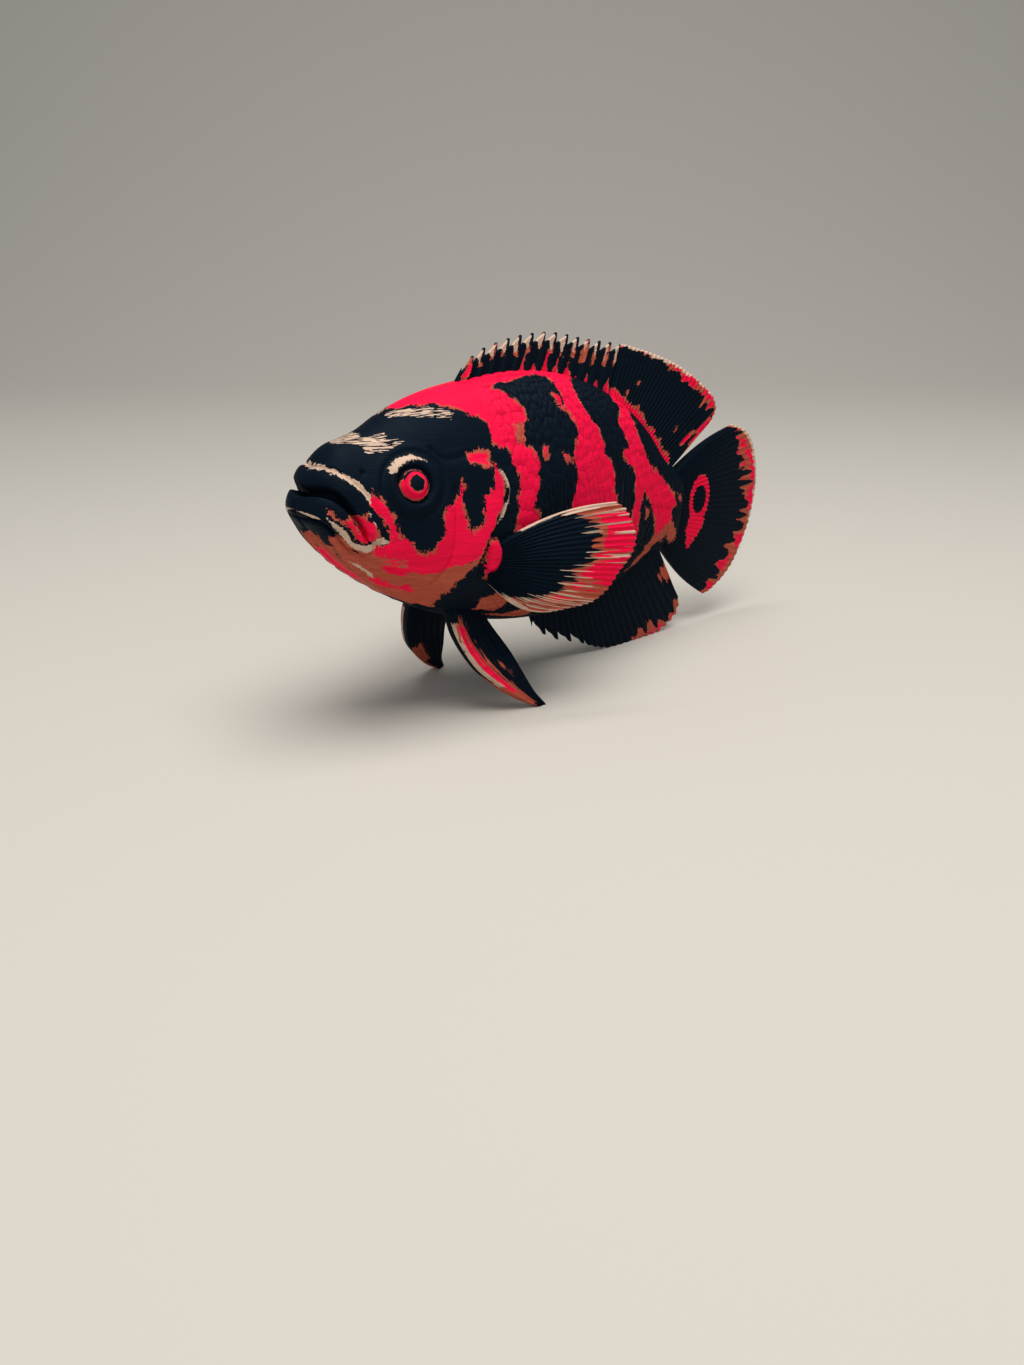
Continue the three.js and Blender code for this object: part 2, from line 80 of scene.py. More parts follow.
class Profile:
    """A smooth function through [x, value] pairs, flat outside them."""

    def __init__(self, *pairs: Pair) -> None:
        """Work out the slope at each pair.

        Args:
            pairs: The places and their values, in rising order.
        """
        self.x, self.y = (np.array(column, float) for column in zip(*pairs))
        self.width = np.diff(self.x)
        steps = np.diff(self.y) / self.width
        inner = steps[:-1] * self.width[1:] + steps[1:] * self.width[:-1]
        inner = inner / (self.width[:-1] + self.width[1:])
        self.slope = np.concatenate([steps[:1], inner, steps[-1:]])

    def __call__(self, at: Array | float) -> Array:
        """Read the function.

        Args:
            at: One place or an array of them.

        Returns:
            The values there.
        """
        q = np.clip(np.asarray(at, float), self.x[0], self.x[-1])
        i = np.clip(np.searchsorted(self.x, q, side="right") - 1, 0, len(self.width) - 1)
        t = (q - self.x[i]) / self.width[i]
        ease = t * t * (3 - 2 * t)
        leave = t * (1 - t) ** 2 * self.width[i] * self.slope[i]
        arrive = t * t * (t - 1) * self.width[i] * self.slope[i + 1]
        return self.y[i] + (self.y[i + 1] - self.y[i]) * ease + leave + arrive


def smooth(low: float, high: float, value: Array) -> Array:
    """Ease from 0 at low to 1 at high."""
    t = np.clip((value - low) / (high - low), 0, 1)
    return t * t * (3 - 2 * t)


def band(value: Array, rise: Pair, fall: Pair) -> Array:
    """Ease from 0 to 1 over the first pair and back to 0 over the second."""
    return smooth(*rise, value) * smooth(*fall, value)


def bell(distance: Array, width: float) -> Array:
    """Fall from 1 at no distance towards 0 past a width."""
    return np.exp(-((distance / width) ** 2))


def hump(distance: Array, half_width: Array | float = 1.0) -> Array:
    """Fall from 1 at no distance to 0 at a half width, as half an ellipse does."""
    return np.sqrt(np.clip(1 - (distance / half_width) ** 2, 0, 1))


def scatter(i: Array, j: Array, seed: int) -> Array:
    """Give each whole-numbered cell its own fixed draw between 0 and 1."""
    mixed = np.floor(i) * CELL_HASH[0] + np.floor(j) * CELL_HASH[1] + seed * CELL_HASH[2]
    return np.mod(np.sin(mixed) * CELL_HASH[3], 1.0)


def drift(x: Array, y: Array, seed: int) -> Array:
    """Smooth noise between -1 and 1 over cells one unit wide.

    Args:
        x: Places across the cells.
        y: Places along the cells.
        seed: Which of many such noises to read.

    Returns:
        The noise there.
    """
    ax, ay = smooth(0, 1, x - np.floor(x)), smooth(0, 1, y - np.floor(y))
    low = scatter(x, y, seed) * (1 - ax) + scatter(x + 1, y, seed) * ax
    high = scatter(x, y + 1, seed) * (1 - ax) + scatter(x + 1, y + 1, seed) * ax
    return 2 * (low * (1 - ay) + high * ay) - 1


def route(points: Sequence[Sequence[float]], count: int = 200) -> Array:
    """A smooth line through points, as evenly spaced places along it.

    Args:
        points: The points, in order.
        count: How many places to give.

    Returns:
        An array of count rows.
    """
    given = np.array(points, float)
    steps = np.concatenate([[0], np.cumsum(np.sqrt(np.linalg.norm(np.diff(given, axis=0), axis=1)))])
    fine = np.linspace(0, steps[-1], 8 * count)
    line = np.stack([Profile(*zip(steps, column))(fine) for column in given.T], axis=1)
    run = np.concatenate([[0], np.cumsum(np.linalg.norm(np.diff(line, axis=0), axis=1))])
    even = np.linspace(0, run[-1], count)
    return np.stack([np.interp(even, run, column) for column in line.T], axis=1)


def along(line: Array, u: Array) -> Array:
    """Read an even line at shares of its length."""
    places = np.linspace(0, 1, len(line))
    return np.stack([np.interp(u, places, column) for column in line.T], axis=1)


def nearest(points: Array, line: Array) -> tuple[Array, Array]:
    """The distance from each point to a line of straight stretches, and where along it.

    Args:
        points: One point a row.
        line: The line's corners, one a row.

    Returns:
        One distance and one share of the line's corners a point.
    """
    best, share = np.full(len(points), np.inf), np.zeros(len(points))
    for i, (a, b) in enumerate(zip(line[:-1], line[1:])):
        edge = b - a
        t = np.clip((points - a) @ edge / max(edge @ edge, 1e-12), 0, 1)
        away = np.linalg.norm(points - a - t[:, None] * edge, axis=1)
        share = np.where(away < best, (i + t) / (len(line) - 1), share)
        best = np.minimum(best, away)
    return best, share


def reach(points: Array, line: Array) -> Array:
    """The distance from each point to a line of straight stretches."""
    return nearest(points, line)[0]


def inside(points: Array, outline: Array) -> Array:
    """How far each flat point is inside an outline.

    Args:
        points: One point a row.
        outline: The outline's corners, one a row.

    Returns:
        The distances to the outline, below zero outside it.
    """
    closed = np.vstack([outline, outline[:1]])
    crossed = np.zeros(len(points), bool)
    for (ax, ay), (bx, by) in zip(closed[:-1], closed[1:]):
        spans = (ay > points[:, 1]) != (by > points[:, 1])
        level = ax + (points[:, 1] - ay) * (bx - ax) / (by - ay if by != ay else 1e-9)
        crossed ^= spans & (points[:, 0] < level)
    return np.where(crossed, 1.0, -1.0) * reach(points, closed)


def linked(name: str, data: bpy.types.ID) -> bpy.types.Object:
    """Put some data in the scene.

    Args:
        name: The new object's name.
        data: Its mesh, camera or light.

    Returns:
        The object.
    """
    item = bpy.data.objects.new(name, data)
    bpy.context.scene.collection.objects.link(item)
    return item


@dataclass(frozen=True)
class Seat:
    """Where the level fish stands in the frame of the solids."""

    pitch: float = math.radians(8.4)
    floor_drop: float = 54.6

    def matrix(self, form: "BodyForm") -> Matrix:
        """The step from the fish's millimetres to the frame's metres.

        Args:
            form: The body, whose left eye gives the place along the frame.

        Returns:
            The matrix.
        """
        low, high = (Vector(corner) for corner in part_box("eye_left"))
        turn = Matrix.Rotation(self.pitch, 4, "Y")
        eye = turn @ Vector(form.eye_centre())
        back = (low.x + high.x) / 2 - eye.x * MM
        return Matrix.Translation((back, 0, self.floor_drop * MM)) @ turn @ Matrix.Scale(MM, 4)


@dataclass
class BodyForm:
    """The body's skin as a function of x and girth.

    Girth runs from 0 on the back's midline to 1 on the belly's, above zero on
    the fish's left and below zero on its right. Back and belly give the
    midlines' heights over x, middle the height of the widest place, and
    round_above and round_below how boxy the section is, where 2 is an ellipse.
    """

    end: float = 131.0
    nose_round: float = 9.0
    tip_z: float = 0.5
    snub: float = 1.6
    snub_run: float = 14.0
    eye_x: float = 23.4
    eye_girth: float = 0.355
    eye_sunk: float = 2.2
    stride: float = 0.2
    stride_round: float = 0.01
    halvings: int = 24
    back: Profile = Profile(
        (0, 8.6), (3, 10.2), (6, 12.8), (9, 14.9), (13, 16.4), (18, 18.6), (24, 22.6), (30, 25.6),
        (37, 28.2), (45, 30.4), (56, 33), (68, 34.2), (80, 33.6), (92, 31), (104, 26.2), (114, 19.8),
        (121, 13.8), (126, 11.2), (131, 10.4))
    belly: Profile = Profile(
        (0, -4.2), (3, -4.7), (7, -7.5), (12, -11.2), (20, -15.9), (30, -20.7), (40, -24.2),
        (52, -26.6), (64, -27.8), (76, -27.8), (88, -26.6), (100, -23.4), (112, -17.8),
        (120, -13.2), (126, -11.8), (131, -11.6))
    half_width: Profile = Profile(
        (0, 8), (4, 8.8), (9, 10.1), (16, 12.6), (25, 15.2), (35, 17.2), (46, 18), (58, 17.6),
        (72, 15.8), (88, 12.2), (102, 8.6), (114, 5.4), (124, 3.2), (131, 1.5))
    middle: Profile = Profile((0, 0), (20, -1.5), (45, -1), (80, 0), (131, -0.5))
    round_above: Profile = Profile((0, 2.1), (12, 1.85), (45, 1.9), (131, 2))
    round_below: Profile = Profile((0, 2.4), (20, 2.4), (45, 2.2), (90, 2), (131, 2))

    def snubbed(self, x: Array | float) -> Array:
        """Where the snout's places along the fish end up, drawn back a little at the tip."""
        return x + self.snub * np.clip(1 - np.asarray(x, float) / self.snub_run, 0, 1) ** 2

    def point(self, x: Array, girth: Array) -> Array:
        """Points of the plain skin.

        Args:
            x: Places along the fish.
            girth: Places round it.

        Returns:
            One point a row.
        """
        x, girth = np.broadcast_arrays(np.asarray(x, float), np.asarray(girth, float))
        nose = np.where(x < self.nose_round, hump(1 - x / self.nose_round), 1.0)
        top, bottom, middle = (self.tip_z + (line(x) - self.tip_z) * nose
                               for line in (self.back, self.belly, self.middle))
        cos, sin = np.cos(np.pi * girth), np.abs(np.sin(np.pi * girth))
        power = 2 / np.where(cos >= 0, self.round_above(x), self.round_below(x))
        height = np.where(cos >= 0, top - middle, middle - bottom)
        y = -np.sign(girth) * self.half_width(x) * nose * sin ** power
        z = middle + height * np.sign(cos) * np.abs(cos) ** power
        return np.stack([self.snubbed(x), y, z], axis=-1)

    def normal(self, x: Array, girth: Array) -> Array:
        """The plain skin's outward unit normals.

        Args:
            x: Places along the fish.
            girth: Places round it.

        Returns:
            One normal a row.
        """
        girth = np.asarray(girth)
        start = np.maximum(np.asarray(x, float) - self.stride, self.stride / 10)
        forward = self.point(start + 2 * self.stride, girth) - self.point(start, girth)
        round_ = self.point(x, girth + self.stride_round) - self.point(x, girth - self.stride_round)
        out = np.cross(round_, forward)
        return out / np.linalg.norm(out, axis=-1, keepdims=True)

    def girth_at(self, x: Array, z: Array) -> Array:
        """Find where the left skin stands at a height, by halving.

        Args:
            x: Places along the fish.
            z: The heights to find there.

        Returns:
            The girths.
        """
        low, high = np.full(np.shape(x), 0.02), np.full(np.shape(x), 0.98)
        for _ in range(self.halvings):
            half = (low + high) / 2
            above = self.point(x, half)[..., 2] > z
            low, high = np.where(above, half, low), np.where(above, high, half)
        return (low + high) / 2

    def half_girth(self, x: Array) -> Array:
        """About how long the skin runs from the back's midline to the belly's."""
        tall = (self.back(x) - self.belly(x)) / 2
        return np.pi * np.sqrt((tall ** 2 + self.half_width(x) ** 2) / 2)

    def flat(self, x: Array, girth: Array) -> Array:
        """The skin laid out flat in millimetres: along the fish, and down from mid-flank."""
        return np.stack([x, (girth - 0.5) * self.half_girth(x)], axis=-1)

    def chart(self, x: Array, girth: Array) -> Array:
        """The same, with the right side laid over the left."""
        return self.flat(x, np.abs(girth))

    def on_skin(self, places: Sequence[Pair]) -> Array:
        """The left skin's points at side-view places (x, z)."""
        x, z = np.array(places, float).T
        return self.point(x, self.girth_at(x, z))

    def eye_centre(self) -> Array:
        """The middle of the left eyeball."""
        sunk = self.normal(self.eye_x, self.eye_girth) * self.eye_sunk
        return self.point(self.eye_x, self.eye_girth) - sunk


@dataclass
class Colours:
    """Distance fields of the plastics on a piece's vertices, in millimetres. On the eyes the navy field also
    lays painted shade along the groove.

    Streaked is 1 where beige breaks into level streaks, and scaly is 1 where
    the surface has scales.
    """

    salmon: Array
    red: Array
    beige: Array
    navy: Array
    streaked: Array
    scaly: Array

    @staticmethod
    def blank(count: int) -> "Colours":
        """Fields that show the navy ground everywhere."""
        fields = [np.full(count, FAR_OUTSIDE) for _ in range(4)]
        return Colours(*fields, *(np.zeros(count) for _ in range(2)))


Bend = Callable[[Array, Array], tuple[Array, Array, Colours]]


def bent_grid(name: str, s: Array, t: Array, bend: Bend, seat: Matrix) -> bpy.types.Object:
    """A piece bent out of a flat grid, its touching edges closed.

    Args:
        name: The piece's name.
        s: The grid's stops across.
        t: The grid's stops along.
        bend: Gives points, chart places and colours for the grid's s and t.
        seat: The step from millimetres to the frame.

    Returns:
        The piece, with its chart as a UV map and its colours as attributes.
    """
    bm = bmesh.new()
    bmesh.ops.create_grid(bm, x_segments=len(s) - 1, y_segments=len(t) - 1, size=0.5)
    mesh = bpy.data.meshes.new(name)
    bm.to_mesh(mesh)
    bm.free()
    flat = np.empty(3 * len(mesh.vertices))
    mesh.vertices.foreach_get("co", flat)
    flat = flat.reshape(-1, 3) + 0.5
    across = np.interp(flat[:, 0], np.linspace(0, 1, len(s)), s)
    down = np.interp(flat[:, 1], np.linspace(0, 1, len(t)), t)
    points, chart, colours = bend(across, down)
    place = np.array(seat)
    moved = points @ place[:3, :3].T + place[:3, 3]
    # Nothing reaches below the floor.
    moved[:, 2] = np.maximum(moved[:, 2], 0)
    mesh.vertices.foreach_set("co", moved.ravel())
    corners_of = np.empty(len(mesh.loops), int)
    mesh.loops.foreach_get("vertex_index", corners_of)
    mesh.uv_layers.new(name="Chart").data.foreach_set("uv", chart[corners_of].ravel())
    for label, values in vars(colours).items():
        mesh.attributes.new(label, "FLOAT", "POINT").data.foreach_set("value", values)
    bm = bmesh.new()
    bm.from_mesh(mesh)
    bmesh.ops.remove_doubles(bm, verts=bm.verts, dist=WELD)
    bmesh.ops.recalc_face_normals(bm, faces=bm.faces)
    bm.to_mesh(mesh)
    bm.free()
    mesh.shade_smooth()
    return linked(name, mesh)


# The finish.


class Plastic(Enum):
    """The colours of plastic, as linear light."""

    NAVY = (0.0028, 0.0065, 0.0125, 1.0)
    RED = (0.82, 0.006, 0.052, 1.0)
    SALMON = (0.41, 0.082, 0.048, 1.0)
    BEIGE = (0.56, 0.4, 0.3, 1.0)


@dataclass(frozen=True)
class PrintedFinish:
    """How the plastics meet on one kind of piece.

    Wander and teeth are the depths in millimetres of the lobes and the teeth
    along a patch's edge, and stretch scales the chart under them. Fringe is
    the width of the salmon rim round red, and beige_share how much of the
    raggedness the beige has.
    """

    name: str
    wander: float
    teeth: float
    fringe: float
    beige_share: float = 1.0
    stretch: Triple = (1.0, 1.0, 1.0)


SKIN_FINISH = PrintedFinish("printed_skin", 1.2, 1.0, 0.46, 0.5)
FIN_FINISH = PrintedFinish("printed_fins", 1.6, 0.9, 0.4, 0.6, (1.1, 0.5, 1.0))
STREAK_FINISH = PrintedFinish("printed_streaks", 1.0, 0.7, 0.3, 1.0, (2.0, 0.1, 1.0))
EYE_FINISH = PrintedFinish("printed_eyes", 0.35, 0.25, 0.2)


class Nodes:
    """A node tree being built, with short ways to add and join nodes."""

    def __init__(self, tree: bpy.types.NodeTree) -> None:
        """Start on a tree, cleared."""
        self.tree = tree
        tree.nodes.clear()

    def add(self, kind: str, inputs: dict[str | int, object] | None = None,
            **settings: object) -> bpy.types.Node:
        """Add a node, set it up and join or fill its inputs.

        Args:
            kind: The node's type name.
            inputs: A socket or a value for each named or numbered input.
            settings: The node's own settings.

        Returns:
            The node.
        """
        node = self.tree.nodes.new(kind)
        for key, value in settings.items():
            setattr(node, key, value)
        for key, value in (inputs or {}).items():
            if isinstance(value, bpy.types.NodeSocket):
                self.tree.links.new(value, node.inputs[key])
            else:
                node.inputs[key].default_value = value
        return node

    def math(self, operation: str, *values: object) -> bpy.types.NodeSocket:
        """One Math node's result."""
        return self.add("ShaderNodeMath", dict(enumerate(values)), operation=operation).outputs[0]

    def noise(self, inputs: dict[str | int, object], **settings: object) -> bpy.types.NodeSocket:
        """One noise texture's value."""
        return self.add("ShaderNodeTexNoise", inputs, **settings).outputs["Fac"]

    def stretched(self, vector: bpy.types.NodeSocket, scale: Triple) -> bpy.types.NodeSocket:
        """A vector scaled along each axis."""
        return self.add("ShaderNodeMapping", {"Vector": vector, "Scale": scale}).outputs[0]

    def remap(self, value: bpy.types.NodeSocket, span: Pair,
              onto: Pair = (0.0, 1.0)) -> bpy.types.NodeSocket:
        """A clamped straight change of range."""
        inputs = dict(enumerate((value, *span, *onto)))
        return self.add("ShaderNodeMapRange", inputs).outputs[0]


def node_group(name: str, inputs: dict[str, float | None],
               outputs: Sequence[str]) -> tuple[bpy.types.NodeTree, Nodes, bpy.types.Node]:
    """A new shader group with its sockets.

    Args:
        name: The group's name.
        inputs: Each input's name and first value, which is None for a vector.
        outputs: The names of the outputs, all plain numbers.

    Returns:
        The group, its builder and its input node.
    """
    tree = bpy.data.node_groups.new(name, "ShaderNodeTree")
    for label, value in inputs.items():
        kind = "NodeSocketVector" if value is None else "NodeSocketFloat"
        socket = tree.interface.new_socket(name=label, in_out="INPUT", socket_type=kind)
        if value is not None:
            socket.default_value = value
    for label in outputs:
        tree.interface.new_socket(name=label, in_out="OUTPUT", socket_type="NodeSocketFloat")
    nodes = Nodes(tree)
    return tree, nodes, nodes.add("NodeGroupInput")


def ragged_edge_group() -> bpy.types.NodeTree:
    """A patch's field turned into a mask with a broken, printed-looking edge.

    Returns:
        The group.
    """
    first = {"Field": 0.0, "Chart": None, "Shift": 0.0, "Wander": 1.0, "Teeth": 0.5, "Seed": 0.0}
    tree, n, given = node_group("Ragged edge", first, ["Mask"])

    def ripple(depth: str, gain: float, scale: float, detail: float, rough: float) -> bpy.types.NodeSocket:
        """Noise of one size.

        Args:
            depth: The input that says how deep it is.
            gain: A factor on that depth.
            scale: How fine it is.
            detail: How many finer noises it adds.
            rough: How strong those are.

        Returns:
            The noise, around zero.
        """
        inputs = {"Vector": given.outputs["Chart"], "W": given.outputs["Seed"], "Scale": scale,
                  "Detail": detail, "Roughness": rough}
        level = n.math("SUBTRACT", n.noise(inputs, noise_dimensions="4D"), 0.5)
        return n.math("MULTIPLY", n.math("MULTIPLY", level, given.outputs[depth]), gain)

    broken = n.math("ADD", ripple("Wander", 2.2, 0.4, 1.0, 0.5), ripple("Teeth", 3.4, 1.8, 2.0, 0.75))
    level = n.math("ADD", n.math("ADD", given.outputs["Field"], given.outputs["Shift"]), broken)
    n.add("NodeGroupOutput", {"Mask": n.remap(level, (-0.05, 0.05))})
    return tree


def printed_layers_group() -> bpy.types.NodeTree:
    """The height in millimetres, and the tint, of level print lines.

    Returns:
        The group.
    """
    first = {"Pitch": 0.45, "Ridge": 0.03, "Drag": 0.11}
    tree, n, given = node_group("Printed layers", first, ["Height", "Tint"])
    place = n.add("ShaderNodeTexCoord").outputs["Object"]
    level = n.add("ShaderNodeSeparateXYZ", {0: place}).outputs["Z"]
    turns = n.math("DIVIDE", n.math("MULTIPLY", level, math.pi / MM), given.outputs["Pitch"])
    ridge = n.math("MULTIPLY", n.math("ABSOLUTE", n.math("SINE", turns)), given.outputs["Ridge"])
    marks = n.noise({"Vector": n.stretched(place, (110.0, 110.0, 1100.0)), "Scale": 1.0, "Detail": 2.0})
    height = n.math("ADD", ridge, n.math("MULTIPLY", marks, given.outputs["Drag"]))
    n.add("NodeGroupOutput", {"Height": height, "Tint": marks})
    return tree


def scales_group() -> bpy.types.NodeTree:
    """The height of overlapping scales, each with its rear edge raised, in shares of their lift.

    Returns:
        The group.
    """
    tree, n, given = node_group("Scales", {"Chart": None, "Size": 1.5}, ["Height"])
    tall = {0: given.outputs["Chart"], 1: (1.0, 0.7, 0.0)}
    cells = n.add("ShaderNodeVectorMath", tall, operation="MULTIPLY").outputs[0]
    finer = {0: cells, "Scale": n.math("DIVIDE", 1.0, given.outputs["Size"])}
    scaled = n.add("ShaderNodeVectorMath", finer, operation="SCALE").outputs[0]
    inputs = {"Vector": scaled, "Scale": 1.0, "Randomness": 0.85}
    cell = n.add("ShaderNodeTexVoronoi", inputs, voronoi_dimensions="2D")
    off = n.add("ShaderNodeVectorMath", {0: scaled, 1: cell.outputs["Position"]}, operation="SUBTRACT")
    rear = n.add("ShaderNodeSeparateXYZ", {0: off.outputs[0]}).outputs["X"]
    dome = n.math("POWER", cell.outputs["Distance"], 2.0)
    n.add("NodeGroupOutput", {"Height": n.math("SUBTRACT", n.math("MULTIPLY", rear, 0.9), dome)})
    return tree


@dataclass
class PrintedPlastic:
    """Builds the printed plastics' materials from shared node groups.

    Streak_grain and streak_depth shape the level beige streaks, scale_lift is
    the height of the scales in millimetres, and tint and roughness run over
    the print lines.
    """

    streak_grain: Triple = (0.32, 2.9, 1.0)
    streak_depth: float = 16.0
    fringe_size: float = 0.35
    fringe_gain: float = 1.7
    scale_lift: float = 0.66
    tint: Pair = (0.86, 1.1)
    roughness: Pair = (0.42, 0.56)
    gloss: float = 0.035
    gloss_tint: Quad = (0.6, 0.82, 1, 1)

    def __post_init__(self) -> None:
        """Build the shared groups once."""
        self.ragged = ragged_edge_group()
        self.layers = printed_layers_group()
        self.scales = scales_group()

    def colour(self, n: Nodes, chart: bpy.types.NodeSocket, finish: PrintedFinish) -> bpy.types.NodeSocket:
        """Lay the four plastics over each other by the piece's fields.

        Args:
            n: The material's builder.
            chart: The piece's chart.
            finish: How the plastics meet.

        Returns:
            The colour.
        """
        spread = n.stretched(chart, finish.stretch)

        def attribute(label: str) -> bpy.types.NodeSocket:
            """One of the piece's own fields."""
            return n.add("ShaderNodeAttribute", attribute_name=label).outputs["Fac"]

        def mask(label: str, seed: float, shift: object = 0.0, share: float = 1.0) -> bpy.types.NodeSocket:
            """One field through the ragged edge.

            Args:
                label: The field's name.
                seed: Which noise breaks it up.
                shift: How far its edge is moved out.
                share: How much of the finish's raggedness it has.

            Returns:
                The mask.
            """
            inputs = {"Field": attribute(label), "Chart": spread, "Shift": shift, "Seed": seed,
                      "Wander": finish.wander * share, "Teeth": finish.teeth * share}
            return n.add("ShaderNodeGroup", inputs, node_tree=self.ragged).outputs["Mask"]

        grain = n.noise({"Vector": n.stretched(chart, self.streak_grain), "Scale": 1.0, "Detail": 1.0})
        streaks = n.math("MULTIPLY", n.math("SUBTRACT", grain, 0.5),
                         n.math("MULTIPLY", attribute("streaked"), self.streak_depth))
        patchy = n.noise({"Vector": spread, "Scale": self.fringe_size, "Detail": 1.0})
        rim = n.math("MULTIPLY", n.remap(patchy, (0.4, 0.66)), finish.fringe * self.fringe_gain)
        colour: object = Plastic.NAVY.value
        for plastic, share in ((Plastic.SALMON, mask("salmon", 3.0)),
                               (Plastic.SALMON, mask("red", 1.0, rim)),
                               (Plastic.RED, mask("red", 1.0)),
                               (Plastic.BEIGE, mask("beige", 7.0, streaks, finish.beige_share)),
                               (Plastic.NAVY, mask("navy", 9.0, 0.0, 0.5))):
            mix = n.add("ShaderNodeMix", {0: share, 6: colour, 7: plastic.value}, data_type="RGBA")
            colour = mix.outputs[2]
        return colour

    def material(self, finish: PrintedFinish) -> bpy.types.Material:
        """One finish's material: the plastics, the print lines and the scales.

        Args:
            finish: How the plastics meet.

        Returns:
            The material.
        """
        material = bpy.data.materials.new(finish.name)
        material.use_nodes = True
        n = Nodes(material.node_tree)
        chart = n.add("ShaderNodeUVMap", uv_map="Chart").outputs[0]
        layers = n.add("ShaderNodeGroup", node_tree=self.layers)
        tint = layers.outputs["Tint"]
        lines = (0.3, 0.7)
        value = n.remap(tint, lines, self.tint)
        colour = self.colour(n, chart, finish)
        shaded = n.add("ShaderNodeHueSaturation", {"Value": value, "Color": colour}).outputs[0]
        scales = n.add("ShaderNodeGroup", {"Chart": chart}, node_tree=self.scales).outputs["Height"]
        scaly = n.add("ShaderNodeAttribute", attribute_name="scaly").outputs["Fac"]
        lift = n.math("MULTIPLY", n.math("MULTIPLY", scales, scaly), self.scale_lift)
        height = n.math("ADD", layers.outputs["Height"], lift)
        bump = n.add("ShaderNodeBump", {"Strength": 1.0, "Distance": MM, "Height": height}).outputs[0]
        shader = n.add("ShaderNodeBsdfPrincipled", {
            "Base Color": shaded, "Roughness": n.remap(tint, lines, self.roughness), "Normal": bump,
            "Specular IOR Level": self.gloss, "Specular Tint": self.gloss_tint})
        n.add("ShaderNodeOutputMaterial", {0: shader.outputs[0]})
        return material


def dress(piece: bpy.types.Object, material: bpy.types.Material, slot: str, *nodes: str) -> None:
    """Give a piece its material, seat it on the body and hide what it stands for.

    Args:
        piece: The piece.
        material: Its finish.
        slot: Not used.
        nodes: The solids that it replaces.
    """
    piece.data.materials.append(material)
    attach(piece, "root")
    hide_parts(*nodes)
    LOG.info("%s: %d faces, for %s", piece.name, len(piece.data.polygons), ", ".join(nodes))


# The flesh.


Patch = Sequence[Pair]


